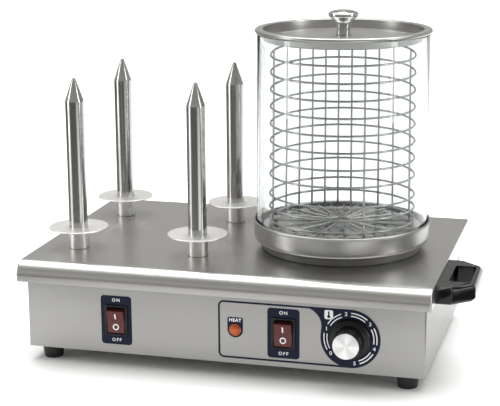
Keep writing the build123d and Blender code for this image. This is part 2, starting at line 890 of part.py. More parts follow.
with BuildPart() as lamp_body:
    with BuildSketch(depth_plane(lamp)):
        Polygon(
            (0, lamp_depth),
            (lamp_body_r, lamp_depth),
            (lamp_body_r, -print_t),
            (lamp_flange_r, -print_t),
            (lamp_flange_r, -print_t - lamp_flange_t),
            (0, -print_t - lamp_flange_t),
            align=None,
        )
    revolve(axis=depth_axis(lamp))
pieces["lamp_body"] = lamp_body

with BuildPart() as lamp_lens:
    lens_back = -print_t - lamp_flange_t
    with BuildSketch(depth_plane(lamp)):
        with BuildLine():
            lens_rim = (lamp_lens_r, lens_back - 1)
            lens_top = (0, lens_back - lamp_lens_h)
            Polyline(lens_top, (0, lens_back), (lamp_lens_r, lens_back), lens_rim)
            RadiusArc(lens_rim, lens_top, dome_radius(lens_rim, lens_top))
        make_face()
    revolve(axis=depth_axis(lamp))
pieces["lamp_lens"] = lamp_lens

# Printed border of the control group: it ends in the dial disc, with a filled sweep above.
group_left = cover_x + group_left_x
with BuildPart() as control_label:
    with BuildSketch(panel):
        for inset, mode in ((0, Mode.ADD), (group_line, Mode.SUBTRACT)):
            left = group_left + inset
            top = panel_z + group_half - inset
            bottom = panel_z - group_half + inset
            bend = group_corner - inset
            with BuildLine():
                Polyline((dial[0], bottom), (dial[0], top), (left + bend, top))
                CenterArc((left + bend, top - bend), bend, 90, 90)
                Line((left, top - bend), (left, bottom + bend))
                CenterArc((left + bend, bottom + bend), bend, 180, 90)
                Line((left + bend, bottom), (dial[0], bottom))
            make_face(mode=mode)
        with Locations(dial):
            Circle(group_half)
        with BuildLine():
            sweep_top = panel_z + group_half - group_line / 2
            sweep_start = (dial[0] - group_half - sweep_reach, sweep_top)
            sweep_end = (dial[0] - group_half + 0.3, panel_z + group_half / 5)
            Polyline(sweep_end, dial, (dial[0], sweep_top), sweep_start)
            ThreePointArc(
                sweep_start,
                (dial[0] - group_half - 0.24 * sweep_reach, sweep_top - 0.37 * sweep_reach),
                sweep_end,
            )
        make_face()
        with Locations(dial):
            Circle(bushing_r + hole_play, mode=Mode.SUBTRACT)
    extrude(amount=print_t)
pieces["control_label"] = control_label

with BuildPart() as thermostat_body:
    with BuildSketch(panel.offset(-sheet)):
        with Locations(dial):
            Rectangle(thermostat_width, thermostat_height)
    extrude(amount=-thermostat_depth)
    fillet(thermostat_body.edges().filter_by(Axis.Y), 2)
    with BuildSketch(panel.offset(-sheet)):
        with Locations(dial):
            Circle(bushing_r)
    extrude(amount=sheet + bushing_out)
    with BuildSketch(panel.offset(bushing_out)):
        with Locations(dial):
            Circle(shaft_r + slip)
    extrude(amount=-bushing_out - shaft_in, mode=Mode.SUBTRACT)
pieces["thermostat_body"] = thermostat_body

with BuildPart() as thermostat_nut:
    with BuildSketch(panel.offset(print_t)):
        with Locations(dial):
            RegularPolygon(dial_nut_flats / 2, 6, major_radius=False)
            Circle(bushing_r, mode=Mode.SUBTRACT)
    extrude(amount=dial_nut_t)
pieces["thermostat_nut"] = thermostat_nut

with BuildPart() as thermostat_shaft:
    with BuildSketch(panel.offset(shaft_out)):
        with Locations(dial):
            Circle(shaft_r)
    extrude(amount=-shaft_out - shaft_in + gap)
pieces["thermostat_shaft"] = thermostat_shaft

with BuildPart() as knob:
    knob_back = -print_t - knob_lift
    knob_face = -knob_reach + knob_cap_t
    with BuildSketch(depth_plane(dial)):
        Polygon(
            (shaft_r, knob_back - knob_well_depth),
            (knob_well_r, knob_back - knob_well_depth),
            (knob_well_r, knob_back),
            (knob_skirt_r, knob_back),
            (knob_skirt_r, knob_back - 0.6 * knob_skirt_t),
            (knob_skirt_r - 1.5, knob_back - knob_skirt_t),
            (knob_grip_r, knob_back - knob_skirt_t - 1.5),
            (knob_front_r, knob_face),
            (0, knob_face),
            (0, -shaft_out),
            (shaft_r, -shaft_out),
            align=None,
        )
    revolve(axis=depth_axis(dial))
pieces["knob"] = knob

with BuildPart() as knob_cap:
    with BuildSketch(panel.offset(knob_reach)):
        with Locations(dial):
            Circle(knob_cap_r)
    extrude(amount=-knob_cap_t)
    fillet(knob_cap.faces().sort_by(Axis.Y)[0].edges(), knob_cap_t / 2)
pieces["knob_cap"] = knob_cap

# ---------------------------------------------------------------- side handle
handle_front = handle_y - handle_length / 2
handle_back = handle_y + handle_length / 2
with BuildPart() as side_handle:
    with BuildSketch(Plane.XY.offset(handle_top)):
        with BuildLine():
            Polyline(
                (cover_right, handle_front),
                (cover_right + handle_flat, handle_front),
                (cover_right + handle_reach, handle_front + handle_slope),
                (cover_right + handle_reach, handle_back - handle_slope),
                (cover_right + handle_flat, handle_back),
                (cover_right, handle_back),
                close=True,
            )
        make_face()
    extrude(amount=-handle_height)
    outer_corners = side_handle.edges().filter_by(Axis.Z).group_by(Axis.X)
    fillet(outer_corners[-1] + outer_corners[-2], handle_corner_r)
    rims = side_handle.faces().filter_by(Axis.Z).edges()
    rims = rims.filter_by(lambda edge: edge.center().X > cover_right + 0.1)
    chamfer(rims, handle_chamfer)
    hole_mid_x = cover_right + (handle_bridge + handle_reach - handle_grip) / 2
    with BuildSketch(Plane.XY.offset(handle_top)):
        with Locations((hole_mid_x, handle_y)):
            RectangleRounded(
                handle_reach - handle_grip - handle_bridge,
                handle_length - 2 * handle_end,
                handle_hole_r,
            )
    extrude(amount=-handle_height, mode=Mode.SUBTRACT)
    with BuildSketch(Plane.YZ.offset(cover_right)):
        with Locations(*handle_screw_spots):
            Circle(handle_screw_r)
    extrude(amount=handle_screw_depth, mode=Mode.SUBTRACT)
pieces["side_handle"] = side_handle

with BuildPart() as handle_screws:
    with BuildSketch(Plane.YZ.offset(cover_right - sheet)):
        with Locations(*handle_screw_spots):
            Circle(screw_head_r + 0.6)
    extrude(amount=-screw_head_t)
    with BuildSketch(Plane.YZ.offset(cover_right - sheet)):
        with Locations(*handle_screw_spots):
            Circle(handle_screw_r)
    extrude(amount=sheet + handle_screw_depth)
pieces["handle_screws"] = handle_screws

# ---------------------------------------------------------------- electrical fittings
gland_spot = (cover_x + gland_x, body_bottom + gland_rise)
with BuildPart() as cable_gland:
    with BuildSketch(Plane.XZ.offset(-body_back)):
        with Locations(gland_spot):
            RegularPolygon(gland_flats / 2, 6, major_radius=False)
    extrude(amount=-gland_out / 2)
    with BuildSketch(Plane.XZ.offset(-body_back - gland_out / 2)):
        with Locations(gland_spot):
            Circle(gland_flats / 2 - 0.5)
    extrude(amount=-gland_out / 2)
    fillet(cable_gland.faces().sort_by(Axis.Y)[-1].edges(), 3)
    with BuildSketch(Plane.XZ.offset(-body_back)):
        with Locations(gland_spot):
            Circle(gland_thread_r)
    extrude(amount=gland_in)
    with BuildSketch(Plane.XZ.offset(-body_back - gland_out)):
        with Locations(gland_spot):
            Circle(gland_bore_r)
    extrude(amount=gland_out + gland_in, mode=Mode.SUBTRACT)
pieces["cable_gland"] = cable_gland

with BuildPart() as gland_nut:
    with BuildSketch(Plane.XZ.offset(-body_back + sheet)):
        with Locations(gland_spot):
            RegularPolygon(gland_flats / 2 + 1.5, 6, major_radius=False)
            Circle(gland_thread_r, mode=Mode.SUBTRACT)
    extrude(amount=gland_nut_t)
pieces["gland_nut"] = gland_nut

terminal_length, terminal_depth, terminal_tall = terminal_size
terminal_y = body_back - terminal_from_back
with BuildPart() as terminal_block:
    with BuildSketch(Plane.XY.offset(body_bottom + sheet)):
        with Locations((cover_x + terminal_x, terminal_y)):
            Rectangle(terminal_length, terminal_depth)
    extrude(amount=terminal_tall)
    with BuildSketch(Plane.XZ.offset(-terminal_y - terminal_depth / 2)):
        with Locations((cover_x + terminal_x, body_bottom + sheet + terminal_tall / 2)):
            with GridLocations(terminal_length / 4, 1, 4, 1):
                Circle(terminal_entry_r)
    extrude(amount=terminal_depth, mode=Mode.SUBTRACT)
pieces["terminal_block"] = terminal_block

# ---------------------------------------------------------------- hand in
os.makedirs("parts", exist_ok=True)
for label, piece in pieces.items():
    piece.part.label = label
    export_step(piece.part, f"parts/{label}.step")
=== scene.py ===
from math import atan2, cos, pi, radians, sin, tan

import bmesh
import bpy
from bpy.props import FloatProperty, FloatVectorProperty, IntProperty, PointerProperty
from mathutils import Matrix, Vector


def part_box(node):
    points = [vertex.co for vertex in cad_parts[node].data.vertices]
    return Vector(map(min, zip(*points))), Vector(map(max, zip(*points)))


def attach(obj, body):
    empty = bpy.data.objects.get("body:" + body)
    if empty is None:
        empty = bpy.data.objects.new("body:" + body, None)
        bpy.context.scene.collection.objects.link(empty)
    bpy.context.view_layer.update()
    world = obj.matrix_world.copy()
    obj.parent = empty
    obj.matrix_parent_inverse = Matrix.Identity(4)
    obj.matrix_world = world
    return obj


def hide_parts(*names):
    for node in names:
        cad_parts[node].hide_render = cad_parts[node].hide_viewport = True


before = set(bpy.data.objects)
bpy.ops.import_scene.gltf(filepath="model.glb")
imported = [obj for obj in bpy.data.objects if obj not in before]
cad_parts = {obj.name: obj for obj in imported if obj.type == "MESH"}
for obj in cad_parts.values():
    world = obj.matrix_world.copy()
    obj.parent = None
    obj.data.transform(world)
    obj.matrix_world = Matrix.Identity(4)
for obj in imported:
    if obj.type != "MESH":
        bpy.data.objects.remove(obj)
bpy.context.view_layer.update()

bl_info = {
    "name": "Hot Dog Steamer",
    "version": (1, 0, 0),
    "blender": (4, 5, 0),
    "location": "3D View > Sidebar > Steamer",
    "description": "Dresses the packed frame of a counter hot dog steamer with its finished pieces",
    "category": "Object",
}

PRINT_LIFT = 0.00002    # how far printed marks stand off their label
PRINT_DEPTH = 0.00012   # how thick printed marks are
WORD_SIZE = 0.0054      # height of the printed words
WIRE_SIDES = 10         # sides of each basket wire


# ---------------------------------------------------------------- shader sums
class Link:
    """A shader output that can be used in sums."""

    def __init__(self, finish, socket):
        self.finish = finish
        self.socket = socket

    def sum(self, operation, first, second):
        return self.finish.node("ShaderNodeMath", {"operation": operation}, {0: first, 1: second})

    def __add__(self, other):
        return self.sum("ADD", self, other)

    __radd__ = __add__

    def __sub__(self, other):
        return self.sum("SUBTRACT", self, other)

    def __rsub__(self, other):
        return self.sum("SUBTRACT", other, self)

    def __mul__(self, other):
        return self.sum("MULTIPLY", self, other)

    __rmul__ = __mul__

    def __truediv__(self, other):
        return self.sum("DIVIDE", self, other)

    def __pow__(self, other):
        return self.sum("POWER", self, other)

    def __lt__(self, other):
        return self.sum("LESS_THAN", self, other)

    def __gt__(self, other):
        return self.sum("GREATER_THAN", self, other)


class Finish:
    """A material whose nodes are written as expressions on Link values."""

    def __init__(self, name):
        self.material = bpy.data.materials.new(name)
        self.material.use_nodes = True
        self.tree = self.material.node_tree
        self.tree.nodes.clear()
        self.place = self.node("ShaderNodeTexCoord", out="Object")

    def node(self, kind, settings=None, sockets=None, out=0):
        """Adds one node: its settings first, then the values or links of its sockets."""
        made = self.tree.nodes.new(kind)
        for key, value in (settings or {}).items():
            if key == "stops":
                ramp = made.color_ramp.elements
                while len(ramp) < len(value):
                    ramp.new(0.5)
                for element, (position, colour) in zip(ramp, value):
                    element.position = position
                    element.color = colour
            else:
                setattr(made, key, value)
        for key, value in (sockets or {}).items():
            if isinstance(value, Link):
                self.tree.links.new(value.socket, made.inputs[key])
            else:
                made.inputs[key].default_value = value
        return None if out is None else Link(self, made.outputs[out])

    def scaled(self, scale):
        """Object coordinates stretched along each axis."""
        sockets = {0: self.place, 1: scale}
        return self.node("ShaderNodeVectorMath", {"operation": "MULTIPLY"}, sockets)

    def turned_about(self, centre, across=("X", "Y"), along="Z"):
        """Radius, angle and height about a centre line, as three links."""
        moved = self.node(
            "ShaderNodeVectorMath", {"operation": "SUBTRACT"}, {0: self.place, 1: centre}
        )
        parts = {
            axis: self.node("ShaderNodeSeparateXYZ", None, {0: moved}, out=axis) for axis in "XYZ"
        }
        first, second = (parts[axis] for axis in across)
        radius = (first * first + second * second) ** 0.5
        angle = self.node("ShaderNodeMath", {"operation": "ARCTAN2"}, {0: first, 1: second})
        return radius, angle, parts[along]

    def joined(self, x, y, z):
        return self.node("ShaderNodeCombineXYZ", None, {0: x, 1: y, 2: z})

    def noise(self, vector, scale=1.0, detail=2.0, roughness=0.5):
        sockets = {"Vector": vector, "Scale": scale, "Detail": detail, "Roughness": roughness}
        return self.node("ShaderNodeTexNoise", None, sockets)

    def mix(self, factor, first, second):
        sockets = {0: factor, 6: first, 7: second}
        return self.node("ShaderNodeMix", {"data_type": "RGBA"}, sockets, out=2)

    def bump(self, height, strength, distance):
        sockets = {"Height": height, "Strength": strength, "Distance": distance}
        return self.node("ShaderNodeBump", None, sockets)

    def close(self, **sockets):
        """Ends the material in one Principled shader; names use _ for a space."""
        named = {key.replace("_", " "): value for key, value in sockets.items()}
        shader = self.node("ShaderNodeBsdfPrincipled", None, named)
        self.node("ShaderNodeOutputMaterial", None, {"Surface": shader}, out=None)
        return self.material


def grey(value, warmth=0.0):
    return (value, value * (1 - 0.25 * warmth), value * (1 - warmth), 1.0)


# ---------------------------------------------------------------- finishes
def straight_brushed_steel(name, value, rough):
    """Sheet steel brushed in one direction, with faint wiping marks."""
    grain = (14, 2600, 2600)
    steel = Finish(name)
    hairs = steel.noise(steel.scaled(grain), 1.0, 3.0, 0.6)
    bands = steel.noise(steel.scaled([g * 0.12 for g in grain]), 1.0, 2.0)
    wipes = steel.noise(steel.place, 9.0, 3.0)
    colour = steel.mix(hairs * 0.5 + bands * 0.5, grey(value * 0.9, 0.05), grey(value * 1.08, 0.03))
    return steel.close(
        Base_Color=colour,
        Metallic=1.0,
        Roughness=hairs * 0.12 + wipes * 0.08 + bands * 0.05 + (rough - 0.125),
        Normal=steel.bump(hairs, 0.35, 0.00003),
    )


def turned_steel(name, centre, value, rough, face_rings=1.0):
    """Steel polished while it turns, so its scratches run round the centre line."""
    steel = Finish(name)
    radius, angle, height = steel.turned_about(centre)
    rings = steel.noise(steel.joined(radius * 2200 * face_rings, angle * 1.5, height * 2200), 1.0, 3.0)
    tone = steel.noise(steel.joined(radius * 260, angle * 0.6, height * 260), 1.0, 2.0)
    colour = steel.mix(rings * 0.4 + tone * 0.6, grey(value * 0.9, 0.05), grey(value * 1.06, 0.02))
    return steel.close(
        Base_Color=colour,
        Metallic=1.0,
        Roughness=rings * 0.1 + tone * 0.08 + (rough - 0.09),
        Normal=steel.bump(rings, 0.3, 0.00002),
    )


def drawn_steel(name, value, rough):
    """Tube or wire polished along its length."""
    steel = Finish(name)
    lines = steel.noise(steel.scaled((1500, 1500, 12)), 1.0, 2.0)
    marks = steel.noise(steel.scaled((300, 300, 40)), 1.0, 4.0, 0.6)
    colour = steel.mix(lines, grey(value * 0.9, 0.05), grey(value * 1.05, 0.02))
    return steel.close(
        Base_Color=colour,
        Metallic=1.0,
        Roughness=lines * 0.06 + marks * 0.08 + (rough - 0.07),
        Normal=steel.bump(lines, 0.2, 0.00002),
    )


def bright_chrome(name, value, rough):
    """Plated metal with the slight waviness of a polished casting."""
    chrome = Finish(name)
    waves = chrome.noise(chrome.place, 120.0, 2.0)
    specks = chrome.noise(chrome.place, 1400.0, 2.0)
    colour = chrome.mix(waves, grey(value * 0.95, 0.02), grey(value, 0.0))
    return chrome.close(
        Base_Color=colour,
        Metallic=1.0,
        Roughness=waves * 0.04 + specks * 0.04 + (rough - 0.04),
        Normal=chrome.bump(waves, 0.15, 0.0002),
    )


def clear_glass(name):
    """Clear drawn glass with a very slight ripple along the tube."""
    glass = Finish(name)
    ripple = glass.noise(glass.scaled((26, 26, 5)), 1.0, 1.0)
    return glass.close(
        Base_Color=(0.83, 0.855, 0.85, 1.0),
        Metallic=0.0,
        Roughness=ripple * 0.012,
        IOR=1.47,
        Transmission_Weight=1.0,
        Normal=glass.bump(ripple, 0.05, 0.0006),
    )


def moulded_plastic(name, colour, rough, texture=0.12, coat=0.0):
    """Injection moulded plastic: soft orange-peel gloss with fine dust in the texture."""
    plastic = Finish(name)
    peel = plastic.noise(plastic.place, 420.0, 2.0)
    fine = plastic.noise(plastic.place, 2600.0, 2.0)
    darker = [c * 0.82 for c in colour[:3]] + [1.0]
    return plastic.close(
        Base_Color=plastic.mix(peel * 0.6 + fine * 0.4, darker, [*colour[:3], 1.0]),
        Roughness=fine * 0.1 + peel * 0.06 + (rough - 0.08),
        Specular_IOR_Level=0.32,
        Coat_Weight=coat,
        Coat_Roughness=0.08,
        Normal=plastic.bump(peel * 0.6 + fine * 0.4, texture, 0.00012),
    )


def dyed_rubber(name, colour, rough):
    rubber = Finish(name)
    bloom = rubber.noise(rubber.place, 60.0, 3.0)
    pits = rubber.noise(rubber.place, 1800.0, 2.0)
    lighter = [c * 1.6 + 0.004 for c in colour[:3]] + [1.0]
    return rubber.close(
        Base_Color=rubber.mix(bloom * 0.5, [*colour[:3], 1.0], lighter),
        Roughness=pits * 0.14 + (rough - 0.07),
        Normal=rubber.bump(pits, 0.25, 0.00015),
    )


def printed_film(name, colour):
    """Ink under a thin satin film, with the faint grain of screen printing."""
    film = Finish(name)
    screen = film.noise(film.place, 3200.0, 2.0)
    tone = film.noise(film.place, 90.0, 2.0)
    paler = [c * 1.25 + 0.004 for c in colour[:3]] + [1.0]
    return film.close(
        Base_Color=film.mix(screen * 0.5 + tone * 0.5, [*colour[:3], 1.0], paler),
        Roughness=screen * 0.1 + 0.36,
        Specular_IOR_Level=0.16,
        Normal=film.bump(screen, 0.08, 0.00005),
    )


def tinted_moulding(name, colour, glow, rough, centre, ribs):
    """Translucent coloured moulding; the light its inner ribs would catch is painted as light and dark
    rings in its colour and glow.
    """
    moulding = Finish(name)
    radius, _, depth = moulding.turned_about(centre, ("X", "Z"), "Y")
    rings = moulding.noise(moulding.joined(radius * ribs, 0.0, depth * ribs), 1.0, 1.0)
    cloud = moulding.noise(moulding.place, 260.0, 2.0)
    # painted highlight and painted shade: the rib rings run from a darker to a lighter copy of the colour
    rib_highlight = [c * 1.5 + 0.02 for c in colour[:3]] + [1.0]
    dark = [c * 0.55 for c in colour[:3]] + [1.0]
    tone = moulding.mix(rings * 0.6 + cloud * 0.4, dark, rib_highlight)
    return moulding.close(
        Base_Color=tone,
        Roughness=cloud * 0.08 + (rough - 0.04),
        Specular_IOR_Level=0.3,
        Coat_Weight=0.12,
        Coat_Roughness=0.1,
        # the glow carries the same painted rib highlights
        Emission_Color=tone,
        Emission_Strength=glow,
        Normal=moulding.bump(rings, 0.1, 0.0002),
    )


def spun_aluminium(name, centre):
    """Face-turned aluminium with fine rings; its opposed fans of light are painted highlights in its
    colour.
    """
    metal = Finish(name)
    radius, angle, depth = metal.turned_about(centre, ("X", "Z"), "Y")
    grooves = metal.noise(metal.joined(radius * 5200, angle * 0.4, depth * 900), 1.0, 2.0)
    # painted highlight: four fans of light round the centre, set into the colour
    fan_highlight_wave = metal.node("ShaderNodeMath", {"operation": "SINE"}, {0: angle * 4.0 + 0.7})
    painted_fan_highlights = (fan_highlight_wave * 0.5 + 0.5) * metal.noise(metal.joined(angle * 3.0, 2.0, 0.0), 1.4, 2.0)
    return metal.close(
        Base_Color=metal.mix(grooves * 0.3 + painted_fan_highlights * 0.9, grey(0.52), grey(0.94)),
        Metallic=1.0,
        Roughness=grooves * 0.16 + 0.24,
        Normal=metal.bump(grooves, 0.5, 0.00003),
    )


# ---------------------------------------------------------------- mesh making
def soften(corners, steps=4):
    """Rounds each (u, v, radius) corner of an open outline into a short arc."""
    path = []
    for index, corner in enumerate(corners):
        here = Vector(corner[:2])
        radius = corner[2] if len(corner) > 2 else 0.0
        if radius <= 0 or index in (0, len(corners) - 1):
            path.append(tuple(here))
            continue
        before = Vector(corners[index - 1][:2]) - here
        after = Vector(corners[index + 1][:2]) - here
        half = before.angle(after) / 2
        cut = min(radius / tan(half), before.length * 0.49, after.length * 0.49)
        start = here + before.normalized() * cut
        end = here + after.normalized() * cut
        for step in range(steps + 1):
            t = step / steps
            path.append(tuple(start * (1 - t) ** 2 + here * 2 * t * (1 - t) + end * t**2))
    return path


def lathe(name, profile, centre, segments=96, axis="Z"):
    """Turns (radius, height) points about an axis through centre into one closed mesh."""
    shape = bmesh.new()
    rings = []
    for radius, height in profile:
        count = 1 if radius < 1e-7 else segments
        ring = []
        for step in range(count):
            turn = 2 * pi * step / segments
            across = (radius * cos(turn), radius * sin(turn))
            spot = (across[0], across[1], height) if axis == "Z" else (across[0], height, across[1])
            ring.append(shape.verts.new(Vector(centre) + Vector(spot)))
        rings.append(ring)
    pairs = list(zip(rings, rings[1:]))
    if len(rings[0]) > 1 and len(rings[-1]) > 1:
        pairs.append((rings[-1], rings[0]))
    for low, high in pairs:
        if len(low) == 1 and len(high) == 1:
            continue
        for step in range(segments):
            after = (step + 1) % segments
            around = [low[step % len(low)], low[after % len(low)]]
            around += [high[after % len(high)], high[step % len(high)]]
            shape.faces.new(list(dict.fromkeys(around)))
    bmesh.ops.recalc_face_normals(shape, faces=shape.faces[:])
    return as_object(name, shape)


def as_object(name, shape, sharp=32.0):
    """Turns a bmesh into a smooth-shaded object with hard edges where faces bend."""
    mesh = bpy.data.meshes.new(name)
    shape.to_mesh(mesh)
    shape.free()
    mesh.polygons.foreach_set("use_smooth", [True] * len(mesh.polygons))
    mesh.set_sharp_from_angle(angle=radians(sharp))
    made = bpy.data.objects.new(name, mesh)
    bpy.context.scene.collection.objects.link(made)
    return made


def settle(obj):
    """Swaps an object's live modifiers for the plain mesh they make."""
    bpy.context.view_layer.update()
    graph = bpy.context.evaluated_depsgraph_get()
    mesh = bpy.data.meshes.new_from_object(obj.evaluated_get(graph), depsgraph=graph)
    obj.modifiers.clear()
    obj.data = mesh
    return obj


def even_shading(obj):
    """Lets the large flat faces decide the shading at rounded edges."""
    steady = obj.modifiers.new("Even shading", "WEIGHTED_NORMAL")
    steady.keep_sharp = True
    steady.weight = 80
    return settle(obj)


def skin(node, sharp=28.0):
    """A merged, smooth-shaded copy of a CAD node."""
    shape = bmesh.new()
    shape.from_mesh(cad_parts[node].data)
    bmesh.ops.remove_doubles(shape, verts=shape.verts[:], dist=2e-6)
    made = as_object(node + "_skin", shape, sharp)
    return even_shading(made)


def solid(name, outline, thickness=PRINT_DEPTH, face=0.0, holes=()):
    """A flat printed mark: a closed (x, z) outline that grows towards the front from y = face."""
    curve = bpy.data.curves.new(name, "CURVE")
    curve.dimensions = "2D"
    curve.fill_mode = "BOTH"
    for loop in (outline, *holes):
        spline = curve.splines.new("POLY")
        spline.points.add(len(loop) - 1)
        for point, (u, v) in zip(spline.points, loop):
            point.co = (u, v, 0, 1)
        spline.use_cyclic_u = True
    curve.extrude = thickness / 2
    holder = bpy.data.objects.new(name, curve)
    bpy.context.scene.collection.objects.link(holder)
    bpy.context.view_layer.update()
    graph = bpy.context.evaluated_depsgraph_get()
    mesh = bpy.data.meshes.new_from_object(holder.evaluated_get(graph), depsgraph=graph)
    bpy.data.objects.remove(holder)
    shape = bmesh.new()
    shape.from_mesh(mesh)
    bpy.data.meshes.remove(mesh)
    place = Matrix.Translation((0, face - thickness / 2, 0)) @ Matrix.Rotation(pi / 2, 4, "X")
    shape.transform(place)
    bmesh.ops.remove_doubles(shape, verts=shape.verts[:], dist=1e-6)
    bmesh.ops.recalc_face_normals(shape, faces=shape.faces[:])
    return as_object(name, shape)


def arc(centre, radius, start, end, steps=32):
    """Points on a circle from one angle to another, in degrees."""
    turns = [radians(start + (end - start) * step / steps) for step in range(steps + 1)]
    return [(centre[0] + radius * cos(t), centre[1] + radius * sin(t)) for t in turns]


def lettering(name, text, centre, size, face, bold=0.0, spread=1.1):
    """A short printed word or number on the control panel."""
    words = bpy.data.curves.new(name, "FONT")
    words.body = text
    words.size = size
    words.align_x = "CENTER"
    words.align_y = "CENTER"
    words.offset = bold
    words.extrude = PRINT_DEPTH / 2
    words.space_character = spread
    holder = bpy.data.objects.new(name, words)
    bpy.context.scene.collection.objects.link(holder)
    bpy.context.view_layer.update()
    graph = bpy.context.evaluated_depsgraph_get()
    mesh = bpy.data.meshes.new_from_object(holder.evaluated_get(graph), depsgraph=graph)
    bpy.data.objects.remove(holder)
    move = Matrix.Translation((centre[0], face - PRINT_DEPTH / 2, centre[1]))
    mesh.transform(move @ Matrix.Rotation(pi / 2, 4, "X"))
    made = bpy.data.objects.new(name, mesh)
    bpy.context.scene.collection.objects.link(made)
    return made


def merged(name, objects):
    """Joins several made meshes into one piece."""
    shape = bmesh.new()
    for made in objects:
        shape.from_mesh(made.data)
        bpy.data.objects.remove(made)
    return as_object(name, shape)


def hand_over(piece, body, material, slot, *nodes):
    """Gives a finished piece its material, its body and the CAD nodes it stands for."""
    piece.data.materials.clear()
    piece.data.materials.append(material)
    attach(piece, body)
    if nodes:
        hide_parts(*nodes)
    return piece


def middle(node):
    low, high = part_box(node)
    return (low + high) / 2


# ---------------------------------------------------------------- node trees that repeat
class Repeat:
    """A Geometry Nodes tree with named inputs that ends in Realize Instances and Set Material."""

    def __init__(self, name, inputs):
        self.tree = bpy.data.node_groups.new(name, "GeometryNodeTree")
        face = self.tree.interface
        face.new_socket("Points", in_out="INPUT", socket_type="NodeSocketGeometry")
        self.inputs = {}
        for label, value in inputs.items():
            kind = "NodeSocketInt" if isinstance(value, int) else "NodeSocketFloat"
            socket = face.new_socket(label, in_out="INPUT", socket_type=kind)
            self.inputs[label] = (socket.identifier, value)
        finish = face.new_socket("Finish", in_out="INPUT", socket_type="NodeSocketMaterial")
        self.finish = finish.identifier
        face.new_socket("Geometry", in_out="OUTPUT", socket_type="NodeSocketGeometry")
        self.start = self.tree.nodes.new("NodeGroupInput")

    def given(self, label):
        return self.start.outputs[label]

    def node(self, kind, settings=None, sockets=None, out=0):
        made = self.tree.nodes.new(kind)
        for key, value in (settings or {}).items():
            setattr(made, key, value)
        for key, value in (sockets or {}).items():
            if isinstance(value, bpy.types.NodeSocket):
                self.tree.links.new(value, made.inputs[key])
            else:
                made.inputs[key].default_value = value
        return None if out is None else made.outputs[out]

    def circle(self, corners, radius):
        """A circle of straight steps, whose radius is one of the named inputs."""
        sockets = {"Resolution": corners, "Radius": self.given(radius)}
        return self.node("GeometryNodeCurvePrimitiveCircle", None, sockets)

    def instances(self, shape):
        """Puts a shape on each given point and closes the tree."""
        sockets = {"Points": self.given("Points"), "Instance": shape}
        placed = self.node("GeometryNodeInstanceOnPoints", None, sockets)
        real = self.node("GeometryNodeRealizeInstances", None, {0: placed})
        smooth = self.node("GeometryNodeSetShadeSmooth", None, {0: real})
        ended = self.node(
            "GeometryNodeSetMaterial", None, {0: smooth, "Material": self.given("Finish")}
        )
        self.node("NodeGroupOutput", None, {0: ended}, out=None)

    def run(self, name, spots, material, **values):
        """Runs the tree on a cloud of points and returns the plain mesh it makes."""
        cloud = bpy.data.meshes.new(name)
        cloud.from_pydata([tuple(spot) for spot in spots], [], [])
        made = bpy.data.objects.new(name, cloud)
        bpy.context.scene.collection.objects.link(made)
        repeat = made.modifiers.new(self.tree.name, "NODES")
        repeat.node_group = self.tree
        for label, (identifier, value) in self.inputs.items():
            repeat[identifier] = values.get(label.lower().replace(" ", "_"), value)
        repeat[self.finish] = material
        settle(made)
        made.data.set_sharp_from_angle(angle=radians(40))
        return made


# ---------------------------------------------------------------- sizes and colours
class CabinetSettings(bpy.types.PropertyGroup):
    """Sizes and tones of the steel cabinet."""

    cover_tone: FloatProperty(
        name="Cover tone", description="How light the brushed cover is", default=0.5, min=0.1, max=0.9
    )
    panel_tone: FloatProperty(
        name="Panel tone", description="How light the cabinet sides are", default=0.35, min=0.1, max=0.9
    )
    roughness: FloatProperty(
        name="Brushing", description="Roughness of the brushed sheet", default=0.3, min=0.1, max=0.6
    )
    screw_radius: FloatProperty(
        name="Screw head radius", description="Radius of the fixing screws", default=0.0038,
        min=0.002, max=0.006, unit="LENGTH",
    )


class SteamerSettings(bpy.types.PropertyGroup):
    """Sizes and tones of the glass, lid, pan and basket."""

    glass_wall: FloatProperty(
        name="Glass wall", description="Thickness of the glass cylinder", default=0.0028,
        min=0.0015, max=0.005, unit="LENGTH",
    )
    steel_tone: FloatProperty(
        name="Pan tone", description="How light the turned steel is", default=0.43, min=0.1, max=0.9
    )
    wire_radius: FloatProperty(
        name="Wire radius", description="Radius of the basket wire", default=0.00125,
        min=0.0008, max=0.002, unit="LENGTH",
    )
    wire_tone: FloatProperty(
        name="Wire tone", description="How light the basket wire is", default=0.42, min=0.1, max=0.95
    )


class SpikeSettings(bpy.types.PropertyGroup):
    """Sizes and tones of the bun spikes and their stops."""

    spike_tone: FloatProperty(
        name="Spike tone", description="How light the polished spikes are", default=0.48, min=0.1, max=0.9
    )
    edge: FloatProperty(
        name="Stop edge", description="Rounding of the stop's rim", default=0.0006,
        min=0.0002, max=0.0007, unit="LENGTH",
    )
    sides: IntProperty(
        name="Sides", description="Sides of each turned spike", default=64, min=24, max=128
    )


class ControlSettings(bpy.types.PropertyGroup):
    """Colours of the controls."""

    ink: FloatVectorProperty(
        name="Label ink", description="Colour of the printed labels", default=(0.005, 0.008, 0.026),
        min=0, max=1, subtype="COLOR",
    )
    rocker: FloatVectorProperty(
        name="Rocker", description="Colour of the rocker switches", default=(0.085, 0.007, 0.0065),
        min=0, max=1, subtype="COLOR",
    )
    lamp: FloatVectorProperty(
        name="Lamp", description="Colour of the heating lamp", default=(0.42, 0.075, 0.014),
        min=0, max=1, subtype="COLOR",
    )
    print_colour: FloatVectorProperty(
        name="Lettering", description="Colour of the printed marks", default=(0.82, 0.83, 0.84),
        min=0, max=1, subtype="COLOR",
    )


